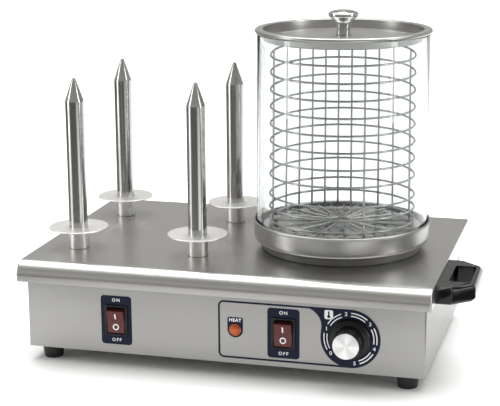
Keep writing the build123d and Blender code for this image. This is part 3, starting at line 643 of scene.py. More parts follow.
class StageSettings(bpy.types.PropertyGroup):
    """Camera and light of the studio."""

    eye: FloatVectorProperty(
        name="Camera place", description="Where the camera stands", default=(0.4205, -1.6343, 0.5781),
        subtype="TRANSLATION", unit="LENGTH",
    )
    aim: FloatVectorProperty(
        name="Camera aim", description="The point in the middle of the view",
        default=(-0.0245, 0.0056, 0.1661), subtype="TRANSLATION", unit="LENGTH",
    )
    roll: FloatProperty(
        name="Camera roll", description="Turn of the camera about its view", default=radians(-0.354),
        subtype="ANGLE",
    )
    lens: FloatProperty(
        name="Lens", description="Focal length in millimetres on a 36 mm frame", default=104.94,
        min=20, max=300,
    )
    floor: FloatProperty(
        name="Floor tone", description="How light the floor is", default=0.86, min=0.3, max=1.0
    )
    light: FloatProperty(
        name="Light", description="Strength of the studio lights", default=1.0, min=0.1, max=4.0
    )


# ---------------------------------------------------------------- operators
def piece_centre(node):
    point = middle(node)
    return Vector((point.x, point.y, 0.0))


class STEAMER_OT_cabinet(bpy.types.Operator):
    """Cover, shell, back and bottom in brushed sheet steel"""

    bl_idname = "steamer.cabinet"
    bl_label = "Cabinet"

    def execute(self, context):
        sizes = context.scene.steamer_cabinet
        top = straight_brushed_steel("cover_brushed_steel", sizes.cover_tone, sizes.roughness)
        side = straight_brushed_steel("cabinet_brushed_steel", sizes.panel_tone, sizes.roughness + 0.06)
        hand_over(skin("cover"), "cabinet", top, "satin_steel", "cover")
        for node in ("cabinet_shell", "back_panel", "bottom_plate"):
            hand_over(skin(node), "cabinet", side, "satin_steel", node)
        return {"FINISHED"}


class STEAMER_OT_feet(bpy.types.Operator):
    """Four tapered rubber feet"""

    bl_idname = "steamer.feet"
    bl_label = "Feet"

    def execute(self, context):
        rubber = dyed_rubber("foot_black_rubber", (0.004, 0.004, 0.004), 0.5)
        for node in ("front_left_foot", "front_right_foot", "back_left_foot", "back_right_foot"):
            low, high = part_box(node)
            wide = (high.x - low.x) / 2
            narrow = wide * 0.845
            outline = soften([
                (0.0024, 0.0045), (0.0048, 0.0045, 0.0006), (0.0048, 0.0, 0.0006),
                (narrow, 0.0, 0.0012), (wide, high.z - 0.0008, 0.0006), (wide - 0.0006, high.z),
                (0.0024, high.z),
            ])
            foot = lathe(node + "_moulding", outline, piece_centre(node), 48)
            hand_over(foot, "cabinet", rubber, "foot_rubber", node)
        return {"FINISHED"}


class STEAMER_OT_fixings(bpy.types.Operator):
    """Cross-head screws on the back and the bottom, and the hidden nuts and studs"""

    bl_idname = "steamer.fixings"
    bl_label = "Fixings"

    def execute(self, context):
        sizes = context.scene.steamer_cabinet
        zinc = bright_chrome("zinc_plate", 0.6, 0.3)
        tree = Repeat("Cross-head screws", {"Head radius": 0.0038, "Head height": 0.0022, "Slot": 0.0009})
        head, thick = tree.given("Head radius"), tree.given("Head height")

        def part_of_head(factor):
            """The head's radius times a plain number."""
            return tree.node("ShaderNodeMath", {"operation": "MULTIPLY"}, {0: head, 1: factor})

        body = tree.node("GeometryNodeMeshCone", {"fill_type": "NGON"}, {
            "Vertices": 24, "Radius Top": part_of_head(0.72), "Radius Bottom": head, "Depth": thick,
        })
        span = part_of_head(1.1)
        cut = tree.tree.nodes.new("GeometryNodeMeshBoolean")
        cut.operation = "DIFFERENCE"
        cut.solver = "EXACT"
        tree.tree.links.new(body, cut.inputs[0])
        for along in (0, 1):
            sides = {along: span, 1 - along: tree.given("Slot"), 2: thick}
            size = tree.node("ShaderNodeCombineXYZ", None, sides)
            bar = tree.node("GeometryNodeMeshCube", None, {"Size": size})
            raised = {"Geometry": bar, "Translation": (0, 0, 0.0018)}
            tree.tree.links.new(tree.node("GeometryNodeTransform", None, raised), cut.inputs[1])
        tree.instances(cut.outputs[0])
        edge, depth = 0.0038, 0.0022
        for node in ("back_screws", "bottom_screws"):
            low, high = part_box(node)
            across = (low.x + edge, (low.x + high.x) / 2, high.x - edge)
            if node == "back_screws":
                rows = (low.z + edge, high.z - edge)
                place = Matrix.Translation((0, high.y - depth, 0)) @ Matrix.Rotation(-pi / 2, 4, "X")
            else:
                rows = (low.y + edge, high.y - edge)
                place = Matrix.Translation((0, 0, low.z + depth)) @ Matrix.Rotation(pi, 4, "X")
            spots = [Vector((x, -row, depth / 2)) for x in across for row in rows]
            heads = tree.run(node + "_heads", spots, zinc, head_radius=sizes.screw_radius)
            heads.data.transform(place)
            hand_over(heads, "cabinet", zinc, "fastener_steel", node)
        for node in (
            "foot_screws", "foot_nuts", "cover_studs", "cover_nuts", "spike_washers", "spike_nuts",
            "heater_studs", "heater_nuts", "handle_screws", "lid_knob_screw",
            "thermostat_nut", "thermostat_shaft",
        ):
            wear_finish(node, zinc)
        return {"FINISHED"}


def wear_finish(node, material):
    """Gives a CAD node that keeps its own shape a finished material."""
    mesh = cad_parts[node].data
    mesh.materials.clear()
    mesh.materials.append(material)


class STEAMER_OT_pan(bpy.types.Operator):
    """Water pan with its rolled rim, the seat ring under it and the perforated tray"""

    bl_idname = "steamer.pan"
    bl_label = "Water pan"

    def execute(self, context):
        sizes = context.scene.steamer_vessel
        centre = piece_centre("water_pan")
        steel = turned_steel("pan_turned_steel", centre, sizes.steel_tone, 0.33)
        low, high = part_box("water_pan")
        rim_r = (high.x - low.x) / 2
        wall_r = rim_r - 0.0012
        sheet = 0.001
        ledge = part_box("pan_seat_ring")[1].z
        sump_r = 0.087
        bead = 0.0017
        profile = soften([
            (0.0, low.z), (sump_r, low.z, 0.003), (sump_r, ledge, 0.001), (wall_r, ledge, 0.0115),
            (wall_r, high.z - 2 * bead, 0.0),
        ], 8)
        mid = wall_r - sheet / 2
        profile += [
            (mid + bead * cos(radians(a)), high.z - bead + bead * sin(radians(a)))
            for a in range(-45, 226, 15)
        ]
        profile += soften([
            (wall_r - sheet, high.z - 2.4 * bead), (wall_r - sheet, ledge + sheet, 0.0095),
            (sump_r - sheet, ledge + sheet, 0.001), (sump_r - sheet, low.z + sheet, 0.002),
            (0.0, low.z + sheet),
        ], 8)
        hand_over(
            lathe("pan_spinning", profile, centre, 160),
            "cabinet", steel, "polished_steel", "water_pan",
        )
        seal = dyed_rubber("seat_grey_silicone", (0.1, 0.098, 0.088), 0.42)
        hand_over(skin("pan_seat_ring"), "cabinet", seal, "seal_rubber", "pan_seat_ring")
        tray = turned_steel("tray_turned_steel", centre, sizes.steel_tone * 0.9, 0.3)
        hand_over(skin("steam_tray"), "basket", tray, "polished_steel", "steam_tray")
        return {"FINISHED"}


class STEAMER_OT_glass(bpy.types.Operator):
    """Clear glass cylinder with fire-polished rims"""

    bl_idname = "steamer.glass"
    bl_label = "Glass"

    def execute(self, context):
        sizes = context.scene.steamer_vessel
        low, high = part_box("glass_cylinder")
        outer = (high.x - low.x) / 2
        inner = outer - sizes.glass_wall
        rim = sizes.glass_wall * 0.45
        profile = soften([
            (outer, (low.z + high.z) / 2), (outer, high.z, rim), (inner, high.z, rim),
            (inner, (low.z + high.z) / 2 + 0.001), (inner, low.z, rim), (outer, low.z, rim),
            (outer, (low.z + high.z) / 2 - 0.001),
        ], 6)
        glass = lathe("glass_tube", profile, piece_centre("glass_cylinder"), 192)
        hand_over(glass, "glass", clear_glass("clear_heat_glass"), "clear_glass", "glass_cylinder")
        return {"FINISHED"}


class STEAMER_OT_lid(bpy.types.Operator):
    """Dished steel lid with a rolled rim and its turned knob"""

    bl_idname = "steamer.lid"
    bl_label = "Lid"

    def execute(self, context):
        sizes = context.scene.steamer_vessel
        centre = piece_centre("lid")
        low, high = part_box("lid")
        outer = (high.x - low.x) / 2
        bead = 0.0023
        sheet = 0.001
        dish = 0.0934
        floor = low.z
        plate_r = 0.071
        step = 0.0048
        top = high.z
        profile = soften([
            (0.0023, floor + step), (plate_r - sheet, floor + step, 0.001),
            (plate_r - sheet + 0.0008, floor, 0.001), (dish, floor, 0.0022),
            (dish, top - sheet, 0.0006), (outer - 1.6 * bead, top - sheet),
        ], 6)
        profile += [
            (outer - bead + bead * cos(radians(a)), top - bead + bead * sin(radians(a)))
            for a in range(140, 450, 15)
        ]
        profile += soften([
            (outer - bead, top), (dish - sheet, top, 0.0012), (dish - sheet, floor + sheet, 0.0016),
            (plate_r + 0.0008, floor + sheet, 0.001), (plate_r, floor + step + sheet, 0.001),
            (0.0023, floor + step + sheet),
        ], 6)
        steel = turned_steel("lid_turned_steel", centre, sizes.steel_tone, 0.3)
        hand_over(
            lathe("lid_spinning", profile, centre, 160),
            "lid_assembly", steel, "polished_steel", "lid",
        )
        low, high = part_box("lid_knob")
        wide = (high.x - low.x) / 2
        tall = high.z - low.z
        stem = 0.0084
        outline = soften([
            (0.0, low.z), (stem, low.z, 0.0008), (stem, low.z + 0.3 * tall, 0.004),
            (stem + 0.0012, low.z + 0.55 * tall, 0.008), (wide, low.z + 0.77 * tall, 0.003),
            (wide, low.z + 0.9 * tall, 0.003), (wide * 0.62, high.z, 0.012), (0.0, high.z),
        ], 8)
        chrome = bright_chrome("knob_bright_chrome", 0.6, 0.12)
        hand_over(
            lathe("lid_knob_turning", outline, centre, 96),
            "lid_assembly", chrome, "polished_steel", "lid_knob",
        )
        return {"FINISHED"}


class STEAMER_OT_basket(bpy.types.Operator):
    """Wire basket: hoops, uprights, floor spokes and the welds where they cross"""

    bl_idname = "steamer.basket"
    bl_label = "Wire basket"

    def execute(self, context):
        sizes = context.scene.steamer_vessel
        steel = drawn_steel("basket_drawn_wire", sizes.wire_tone, 0.2)
        wire = sizes.wire_radius
        centre = piece_centre("basket_rings")
        heights = wire_heights()
        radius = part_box("basket_rings")[1].x - centre.x - wire
        hoop = Repeat("Basket hoops", {"Hoop radius": 0.084, "Wire radius": 0.00125})
        ring = hoop.circle(112, "Hoop radius")
        section = hoop.circle(WIRE_SIDES, "Wire radius")
        hoop.instances(hoop.node("GeometryNodeCurveToMesh", None, {0: ring, 1: section}))
        made = hoop.run(
            "basket_hoops", [(centre.x, centre.y, z) for z in heights], steel,
            hoop_radius=radius, wire_radius=wire,
        )
        hand_over(made, "basket", steel, "basket_wire", "basket_rings")

        turns = upright_turns(centre)
        low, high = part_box("basket_uprights")
        post_r = radius - 2 * wire
        posts = [(centre.x + post_r * cos(t), centre.y + post_r * sin(t), low.z) for t in turns]
        post = Repeat("Basket uprights", {"Length": 0.2, "Wire radius": 0.00125})
        tip = post.node("ShaderNodeCombineXYZ", None, {2: post.given("Length")})
        line = post.node("GeometryNodeCurvePrimitiveLine", None, {"Start": (0, 0, 0), "End": tip})
        section = post.circle(WIRE_SIDES, "Wire radius")
        post.instances(post.node("GeometryNodeCurveToMesh", None, {0: line, 1: section, "Fill Caps": True}))
        made = post.run("basket_posts", posts, steel, length=high.z - low.z, wire_radius=wire)

        bead = Repeat("Weld beads", {"Bead radius": 0.0012})
        drop = {"Segments": 8, "Rings": 6, "Radius": bead.given("Bead radius")}
        bead.instances(bead.node("GeometryNodeMeshUVSphere", None, drop))
        weld_r = radius - wire
        welds = [
            (centre.x + weld_r * cos(t), centre.y + weld_r * sin(t), z) for t in turns for z in heights
        ]
        beads = bead.run("basket_welds", welds, steel, bead_radius=wire * 0.95)
        hand_over(
            merged("basket_uprights_welded", [made, beads]),
            "basket", steel, "basket_wire", "basket_uprights",
        )

        low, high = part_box("basket_floor")
        floor_z = (low.z + high.z) / 2
        hub = 0.012
        spoke_turns = floor_turns()
        spoke = Repeat("Floor spokes", {
            "Inner radius": 0.012, "Outer radius": 0.084, "Wire radius": 0.00125,
        })
        start = spoke.node("ShaderNodeCombineXYZ", None, {0: spoke.given("Inner radius")})
        end = spoke.node("ShaderNodeCombineXYZ", None, {0: spoke.given("Outer radius")})
        line = spoke.node("GeometryNodeCurvePrimitiveLine", None, {"Start": start, "End": end})
        section = spoke.circle(WIRE_SIDES, "Wire radius")
        bar = spoke.node("GeometryNodeCurveToMesh", None, {0: line, 1: section, "Fill Caps": True})
        bars = []
        for turn in spoke_turns:
            turned = {"Geometry": bar, "Rotation": (0, 0, turn)}
            bars.append(spoke.node("GeometryNodeTransform", None, turned))
        hub_ring = spoke.circle(48, "Inner radius")
        bars.append(spoke.node("GeometryNodeCurveToMesh", None, {0: hub_ring, 1: section}))
        together = spoke.tree.nodes.new("GeometryNodeJoinGeometry")
        for made in bars:
            spoke.tree.links.new(made, together.inputs[0])
        spoke.instances(together.outputs[0])
        made = spoke.run(
            "basket_spokes", [(centre.x, centre.y, floor_z)], steel,
            inner_radius=hub, outer_radius=radius, wire_radius=wire,
        )
        hand_over(made, "basket", steel, "basket_wire", "basket_floor")
        return {"FINISHED"}


def wire_heights():
    """Heights of the basket's hoops, read from the CAD wire's own corners."""
    levels = sorted({round(v.co.z, 4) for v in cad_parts["basket_rings"].data.vertices})
    groups = []
    for level in levels:
        if groups and level - groups[-1][-1] < 0.002:
            groups[-1].append(level)
        else:
            groups.append([level])
    return [(group[0] + group[-1]) / 2 for group in groups]


def spot_groups(node, near):
    """Middles of the separate solids of a node, seen from above."""
    groups = []
    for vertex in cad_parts[node].data.vertices:
        spot = Vector((vertex.co.x, vertex.co.y))
        for group in groups:
            if (group[0] - spot).length < near:
                group.append(spot)
                break
        else:
            groups.append([spot])
    middles = []
    for group in groups:
        xs = [spot.x for spot in group]
        ys = [spot.y for spot in group]
        middles.append(Vector(((min(xs) + max(xs)) / 2, (min(ys) + max(ys)) / 2)))
    return middles


def upright_turns(centre):
    """Angles of the basket's uprights about its centre line, from the CAD uprights."""
    return sorted(
        atan2(spot.y - centre.y, spot.x - centre.x) % (2 * pi)
        for spot in spot_groups("basket_uprights", 0.004)
    )


def floor_turns():
    """Angles of the floor spokes, from where the CAD spokes end."""
    centre = piece_centre("basket_rings")
    turns = []
    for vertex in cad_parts["basket_floor"].data.vertices:
        out = Vector((vertex.co.x - centre.x, vertex.co.y - centre.y))
        if out.length > 0.0835:
            turns.append(atan2(out.y, out.x) % (2 * pi))
    turns.sort()
    groups = [[turns[0]]]
    for turn in turns[1:]:
        if turn - groups[-1][-1] < 0.03:
            groups[-1].append(turn)
        else:
            groups.append([turn])
    return [(group[0] + group[-1]) / 2 for group in groups]


class STEAMER_OT_spikes(bpy.types.Operator):
    """Four polished bun spikes with their sliding stops"""

    bl_idname = "steamer.spikes"
    bl_label = "Bun spikes"

    def execute(self, context):
        sizes = context.scene.steamer_spikes
        steel = drawn_steel("spike_polished_steel", sizes.spike_tone, 0.17)
        for number in range(1, 5):
            centre = piece_centre(f"spike_{number}")
            low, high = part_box(f"spike_{number}")
            radius = (high.x - low.x) / 2
            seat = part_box("cover")[1].z
            stub = 0.008
            profile = soften([
                (0.0, low.z), (stub, low.z, 0.0006),
                (stub, seat + 0.0001, 0.0), (radius, seat + 0.0001, 0.0),
                (radius, high.z - 0.027, 0.004), (0.0017, high.z, 0.0016), (0.0, high.z),
            ], 6)
            spike = lathe(f"spike_{number}_turning", profile, centre, sizes.sides)
            hand_over(spike, "cabinet", steel, "polished_steel", f"spike_{number}")
            node = f"bun_stop_{number}"
            low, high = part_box(node)
            disc = (high.x - low.x) / 2
            bore = radius + 0.00008
            sleeve = bore + 0.00125
            thick = 0.0015
            profile = soften([
                (bore, (low.z + high.z) / 2), (bore, low.z, 0.0002), (sleeve, low.z, 0.0004),
                (sleeve, high.z - thick, 0.0006), (disc, high.z - thick, sizes.edge),
                (disc, high.z, sizes.edge), (bore, high.z, 0.0005), (bore, (low.z + high.z) / 2 + 0.0005),
            ], 5)
            stop = turned_steel(f"stop_{number}_turned_steel", centre, sizes.spike_tone * 1.75, 0.42, 0.4)
            hand_over(
                lathe(node + "_turning", profile, centre, 96),
                f"stop_{number}", stop, "polished_steel", node,
            )
        sheath = drawn_steel("heater_dark_sheath", 0.3, 0.4)
        wear_finish("spike_heaters", sheath)
        wear_finish("heater_element", sheath)
        cast = bright_chrome("heater_cast_aluminium", 0.55, 0.42)
        wear_finish("heater_plate", cast)
        return {"FINISHED"}


class STEAMER_OT_switches(bpy.types.Operator):
    """Two lit rocker switches with their labels"""

    bl_idname = "steamer.switches"
    bl_label = "Switches"

    def execute(self, context):
        colours = context.scene.steamer_controls
        ink = printed_film("label_navy_ink", colours.ink)
        white = printed_film("lettering_white_ink", colours.print_colour)
        black = moulded_plastic("switch_black_plastic", (0.012, 0.012, 0.013), 0.3)
        for side in ("left", "right"):
            label = middle(side + "_switch_label")
            low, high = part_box(side + "_switch_label")
            hand_over(skin(side + "_switch_label"), "cabinet", ink, "printed_label", side + "_switch_label")
            front = low.y - PRINT_LIFT
            words = [
                lettering(side + end, word, (label.x, z), WORD_SIZE, front, bold=0.00008, spread=1.35)
                for end, word, z in (("_on", "ON", high.z - 0.0052), ("_off", "OFF", low.z + 0.0054))
            ]
            hand_over(merged(side + "_label_words", words), "cabinet", white, "printed_label")
            hand_over(skin(side + "_switch_body"), "cabinet", black, "black_plastic", side + "_switch_body")
            middle_point = middle(side + "_rocker")
            red = tinted_moulding(
                side + "_rocker_red", colours.rocker, 0.04, 0.2, (middle_point.x, 0, middle_point.z), 500
            )
            rocker = skin(side + "_rocker", 20)
            hand_over(rocker, side + "_rocker_body", red, "red_rocker", side + "_rocker")
            hand_over(rocker_marks(side), side + "_rocker_body", white, "printed_label")
        return {"FINISHED"}


def rocker_faces(side):
    """The two sloping faces of a rocker: (upper, lower), each a middle point and a normal."""
    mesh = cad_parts[side + "_rocker"].data
    faces = {}
    for polygon in mesh.polygons:
        normal = polygon.normal
        if normal.y > -0.8 or abs(normal.x) > 0.01:
            continue
        key = round(normal.z, 2)
        faces.setdefault(key, []).append((polygon.area, polygon.center.copy(), normal.copy()))
    broad = sorted(faces.values(), key=lambda group: -sum(item[0] for item in group))[:2]
    found = []
    for group in broad:
        area = sum(item[0] for item in group)
        centre = sum((item[1] * item[0] for item in group), Vector()) / area
        found.append((centre, group[0][2]))
    return sorted(found, key=lambda item: -item[0].z)


def rocker_marks(side):
    """The I and O printed on the two faces of a rocker."""
    marks = []
    for (centre, normal), mark in zip(rocker_faces(side), "IO"):
        if mark == "I":
            outline = [(-0.0008, -0.0036), (0.0008, -0.0036), (0.0008, 0.0036), (-0.0008, 0.0036)]
            made = solid(side + "_mark_on", outline, 0.0001)
        else:
            ring = arc((0, 0), 0.0037, 0, 360, 40)[:-1]
            inner = arc((0, 0), 0.0024, 0, 360, 40)[:-1]
            made = solid(side + "_mark_off", ring, 0.0001, holes=(inner,))
        tilt = atan2(normal.z, -normal.y)
        made.data.transform(
            Matrix.Translation(centre + normal * PRINT_LIFT) @ Matrix.Rotation(-tilt, 4, "X")
        )
        marks.append(made)
    return merged(side + "_rocker_marks", marks)


class STEAMER_OT_lamp(bpy.types.Operator):
    """Orange heating lamp with its printed surround"""

    bl_idname = "steamer.lamp"
    bl_label = "Heating lamp"

    def execute(self, context):
        colours = context.scene.steamer_controls
        ink = bpy.data.materials["label_navy_ink"]
        white = bpy.data.materials["lettering_white_ink"]
        hand_over(skin("lamp_label"), "cabinet", ink, "printed_label", "lamp_label")
        low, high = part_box("lamp_label")
        lens = middle("lamp_lens")
        spot = (lens.x, high.z - 0.0034)
        word = lettering("lamp_word", "HEAT", spot, WORD_SIZE, low.y - PRINT_LIFT, bold=0.00012)
        hand_over(word, "cabinet", white, "printed_label")
        low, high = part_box("lamp_body")
        centre = Vector((lens.x, 0, lens.z))
        flange = (high.x - low.x) / 2
        outline = soften([
            (0.0, high.y), (0.005, high.y, 0.0005), (0.005, low.y + 0.001, 0.0),
            (flange, low.y + 0.001, 0.0002),
            (flange, low.y, 0.0004), (0.0, low.y),
        ])
        housing = moulded_plastic("lamp_orange_housing", (0.55, 0.12, 0.025), 0.25, coat=0.4)
        hand_over(
            lathe("lamp_housing_moulding", outline, centre, 48, "Y"),
            "cabinet", housing, "lamp_housing", "lamp_body",
        )
        low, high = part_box("lamp_lens")
        wide = (high.x - low.x) / 2
        deep = high.y - low.y
        outline = soften([
            (0.0, high.y), (wide, high.y, 0.0002), (wide, high.y - 0.3 * deep, 0.0015),
            (wide * 0.72, high.y - 0.82 * deep, 0.004), (0.0, low.y),
        ], 8)
        amber = tinted_moulding("lens_amber", colours.lamp, 0.14, 0.14, centre, 900)
        hand_over(
            lathe("lamp_lens_moulding", outline, centre, 64, "Y"),
            "cabinet", amber, "orange_lens", "lamp_lens",
        )
        return {"FINISHED"}


class STEAMER_OT_dial(bpy.types.Operator):
    """Thermostat dial: printed scale, knob and its spun cap"""

    bl_idname = "steamer.dial"
    bl_label = "Thermostat dial"

    def execute(self, context):
        ink = bpy.data.materials["label_navy_ink"]
        white = bpy.data.materials["lettering_white_ink"]
        hand_over(skin("control_label"), "cabinet", ink, "printed_label", "control_label")
        hub = middle("thermostat_shaft")
        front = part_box("control_label")[0].y - PRINT_LIFT
        marks = []
        for number in range(6):
            turn = radians(220 - 60 * number)
            spot = (hub.x + 0.0285 * cos(turn), hub.z + 0.0285 * sin(turn))
            marks.append(lettering(f"scale_{number}", str(number), spot, 0.0062, front, bold=0.0001))
        for number in range(5):
            start = 220 - 60 * number - 11
            end = start - 38
            for radius, width in ((0.0262, 0.0011), (0.0296, 0.0011)):
                grow = number * 0.00012
                band = arc((hub.x, hub.z), radius + width / 2 + grow / 2, start, end, 14)
                band += arc((hub.x, hub.z), radius - width / 2, end, start, 14)
                marks.append(solid(f"scale_band_{number}", band, face=front))
        hand_over(merged("dial_scale", marks), "cabinet", white, "printed_label")
        hand_over(thermometer_mark(hub, front), "cabinet", white, "printed_label")

        low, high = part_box("knob")
        skirt = (high.x - low.x) / 2
        centre = Vector((hub.x, 0, hub.z))
        back = high.y
        face = low.y
        profile = soften([
            (0.003, back - 0.007), (0.01, back - 0.007, 0.0005), (0.01, back, 0.0005),
            (skirt, back, 0.0006), (skirt, back - 0.0024, 0.0008),
            (skirt - 0.0015, back - 0.004, 0.0012),
            (0.0172, back - 0.0046, 0.002), (0.0164, back - 0.0075, 0.001), (0.0154, face, 0.0008),
            (0.003, face),
        ], 6)
        black = moulded_plastic("knob_black_plastic", (0.008, 0.008, 0.009), 0.22)
        hand_over(lathe("knob_moulding", profile, centre, 96, "Y"), "dial", black, "black_plastic", "knob")
        low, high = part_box("knob_cap")
        wide = (high.x - low.x) / 2
        outline = soften([
            (0.0, high.y), (wide, high.y, 0.0002), (wide, low.y, 0.0007), (0.0, low.y + 0.00015),
        ], 6)
        cap = spun_aluminium("cap_spun_aluminium", centre)
        hand_over(
            lathe("knob_cap_spinning", outline, centre, 96, "Y"),
            "dial", cap, "silver_cap", "knob_cap",
        )
        case = bright_chrome("thermostat_pressed_case", 0.5, 0.35)
        wear_finish("thermostat_body", case)
        return {"FINISHED"}


def thermometer_mark(hub, front):
    """A small light plate with a thermometer on it, left of the dial's top."""
    left = hub.x - 0.0291
    top = hub.z + 0.0313
    wide, tall, corner = 0.0096, 0.0104, 0.0018
    plate = []
    for cx, cz, start in (
        (left + wide - corner, top - corner, 0), (left + corner, top - corner, 90),
        (left + corner, top - tall + corner, 180), (left + wide - corner, top - tall + corner, 270),
    ):
        plate += arc((cx, cz), corner, start, start + 90, 5)
    mid_x = left + wide / 2
    mid_z = top - tall / 2
    stem = arc((mid_x, mid_z + 0.0032), 0.0009, 0, 180, 8)
    bulb = arc((mid_x, mid_z - 0.0022), 0.0018, 120, 420, 20)
    return solid("thermometer_plate", plate, face=front, holes=(stem + bulb,))


class STEAMER_OT_handle(bpy.types.Operator):
    """Black side handle, a loop to put the fingers through"""

    bl_idname = "steamer.handle"
    bl_label = "Side handle"

    def execute(self, context):
        black = moulded_plastic("handle_black_plastic", (0.0015, 0.0015, 0.002), 0.16, 0.06)
        handle = skin("side_handle", 24)
        hand_over(handle, "cabinet", black, "black_plastic", "side_handle")
        return {"FINISHED"}


class STEAMER_OT_wiring(bpy.types.Operator):
    """Cord gland at the back and the terminal block inside"""

    bl_idname = "steamer.wiring"
    bl_label = "Electrical fittings"

    def execute(self, context):
        black = moulded_plastic("gland_black_nylon", (0.015, 0.015, 0.015), 0.4, 0.2)
        hand_over(skin("cable_gland"), "cabinet", black, "black_plastic", "cable_gland")
        wear_finish("gland_nut", black)
        nylon = moulded_plastic("terminal_white_nylon", (0.72, 0.71, 0.66), 0.5, 0.2)
        wear_finish("terminal_block", nylon)
        return {"FINISHED"}


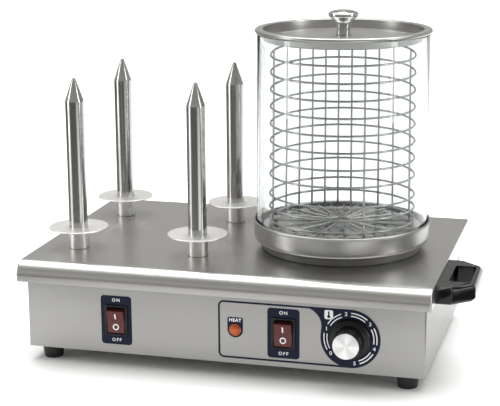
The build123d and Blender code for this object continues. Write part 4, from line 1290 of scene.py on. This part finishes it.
class STEAMER_OT_stage(bpy.types.Operator):
    """Pale floor, soft lights and the camera"""

    bl_idname = "steamer.stage"
    bl_label = "Studio"

    def execute(self, context):
        sizes = context.scene.steamer_stage
        scene = context.scene
        floor_shape = bmesh.new()
        bmesh.ops.create_grid(floor_shape, x_segments=2, y_segments=2, size=6.0)
        floor = as_object("studio_floor", floor_shape)
        paper = Finish("floor_paper")
        tooth = paper.noise(paper.place, 240.0, 3.0)
        floor.data.materials.append(paper.close(
            Base_Color=paper.mix(tooth, grey(sizes.floor * 0.99), grey(sizes.floor)),
            Roughness=tooth * 0.1 + 0.8,
        ))

        dark = Finish("flag_dark_cloth")
        nap = dark.noise(dark.place, 90.0, 3.0)
        cloth = dark.close(Base_Color=dark.mix(nap, grey(0.09), grey(0.13)), Roughness=1.0)
        ring = bmesh.new()
        middle_x = -0.12
        for start, end, near in ((-136, -56, 0.5), (-28, 20, 0.5), (125, 196, 0.45)):
            inner = arc((middle_x, 0), near, start, end, 12)
            outer = arc((middle_x, 0), 3.6, end, start, 12)
            ring.faces.new([ring.verts.new((x, y, 0.004)) for x, y in inner + outer])
        bmesh.ops.triangulate(ring, faces=ring.faces[:])
        bmesh.ops.recalc_face_normals(ring, faces=ring.faces[:])
        flag = as_object("dark_floor_flag", ring)
        flag.data.materials.append(cloth)
        flag.visible_camera = False
        flag.visible_diffuse = False
        flag.visible_shadow = False
        flag.visible_transmission = False

        world = bpy.data.worlds.new("Studio")
        world.use_nodes = True
        sky = world.node_tree
        sky.nodes.clear()
        where = sky.nodes.new("ShaderNodeTexCoord")
        split = sky.nodes.new("ShaderNodeSeparateXYZ")
        ramp = sky.nodes.new("ShaderNodeValToRGB")
        back = sky.nodes.new("ShaderNodeBackground")
        out = sky.nodes.new("ShaderNodeOutputWorld")
        stops = ramp.color_ramp.elements
        stops[0].position = 0.0
        stops[0].color = (0.3, 0.295, 0.285, 1)
        stops[1].position = 1.0
        stops[1].color = (0.9, 0.9, 0.9, 1)
        for position, value in ((0.1, 0.48), (0.24, 0.6), (0.45, 0.46), (0.65, 0.34), (0.85, 0.55)):
            stops.new(position).color = (value, value * 0.985, value * 0.95, 1)
        sky.links.new(where.outputs["Generated"], split.inputs[0])
        sky.links.new(split.outputs["Z"], ramp.inputs[0])
        sky.links.new(ramp.outputs[0], back.inputs["Color"])
        back.inputs["Strength"].default_value = sizes.light
        sky.links.new(back.outputs[0], out.inputs[0])
        scene.world = world

        for name, place, aim, size, power, tone in (
            ("over", (0.0, 0.25, 1.9), (0, 0, 0), (2.6, 1.7), 62, (1, 1, 1)),
            ("left strip", (-1.5, -0.75, 0.55), (0, 0, 0.25), (0.3, 1.3), 7, (1, 1, 1)),
            ("right strip", (1.7, -0.3, 0.6), (0, 0, 0.25), (0.3, 1.3), 7, (1, 1, 1)),
            ("far floor", (0.3, 3.4, 2.4), (0.3, 3.6, 0), (6.0, 3.4), 170, (1, 1, 1)),
        ):
            lamp = bpy.data.lights.new(name, "AREA")
            lamp.shape = "RECTANGLE"
            lamp.size, lamp.size_y = size
            lamp.energy = power * sizes.light
            lamp.color = tone
            holder = bpy.data.objects.new(name, lamp)
            look = (Vector(aim) - Vector(place)).to_track_quat("-Z", "Y")
            holder.matrix_world = Matrix.Translation(place) @ look.to_matrix().to_4x4()
            scene.collection.objects.link(holder)
            holder.visible_glossy = name != "far floor"
            holder.visible_camera = False

        camera = bpy.data.cameras.new("Camera")
        camera.lens = sizes.lens
        camera.sensor_width = 36
        camera.clip_end = 50
        holder = bpy.data.objects.new("Camera", camera)
        look = (Vector(sizes.aim) - Vector(sizes.eye)).to_track_quat("-Z", "Y")
        holder.matrix_world = (
            Matrix.Translation(sizes.eye) @ look.to_matrix().to_4x4() @ Matrix.Rotation(sizes.roll, 4, "Z")
        )
        scene.collection.objects.link(holder)
        scene.camera = holder
        scene.view_settings.view_transform = "Standard"
        return {"FINISHED"}


class STEAMER_PT_panel(bpy.types.Panel):
    """Sizes, colours and pieces of the steamer"""

    bl_idname = "STEAMER_PT_panel"
    bl_label = "Hot Dog Steamer"
    bl_space_type = "VIEW_3D"
    bl_region_type = "UI"
    bl_category = "Steamer"

    def draw(self, context):
        layout = self.layout
        for name, group in SETTINGS.items():
            box = layout.box()
            settings = getattr(context.scene, name)
            for field in group.__annotations__:
                box.prop(settings, field)
        for piece in PIECES:
            layout.operator(piece.bl_idname)


SETTINGS = {
    "steamer_cabinet": CabinetSettings,
    "steamer_vessel": SteamerSettings,
    "steamer_spikes": SpikeSettings,
    "steamer_controls": ControlSettings,
    "steamer_stage": StageSettings,
}
PIECES = (
    STEAMER_OT_cabinet,
    STEAMER_OT_feet,
    STEAMER_OT_fixings,
    STEAMER_OT_pan,
    STEAMER_OT_glass,
    STEAMER_OT_lid,
    STEAMER_OT_basket,
    STEAMER_OT_spikes,
    STEAMER_OT_switches,
    STEAMER_OT_lamp,
    STEAMER_OT_dial,
    STEAMER_OT_handle,
    STEAMER_OT_wiring,
    STEAMER_OT_stage,
)


def register():
    for group in (*SETTINGS.values(), *PIECES, STEAMER_PT_panel):
        bpy.utils.register_class(group)
    for name, group in SETTINGS.items():
        setattr(bpy.types.Scene, name, PointerProperty(type=group))


def unregister():
    for name in SETTINGS:
        delattr(bpy.types.Scene, name)
    for group in reversed((*SETTINGS.values(), *PIECES, STEAMER_PT_panel)):
        bpy.utils.unregister_class(group)


def main():
    register()
    for piece in PIECES:
        family, action = piece.bl_idname.split(".")
        getattr(getattr(bpy.ops, family), action)()


if __name__ == "__main__":
    main()
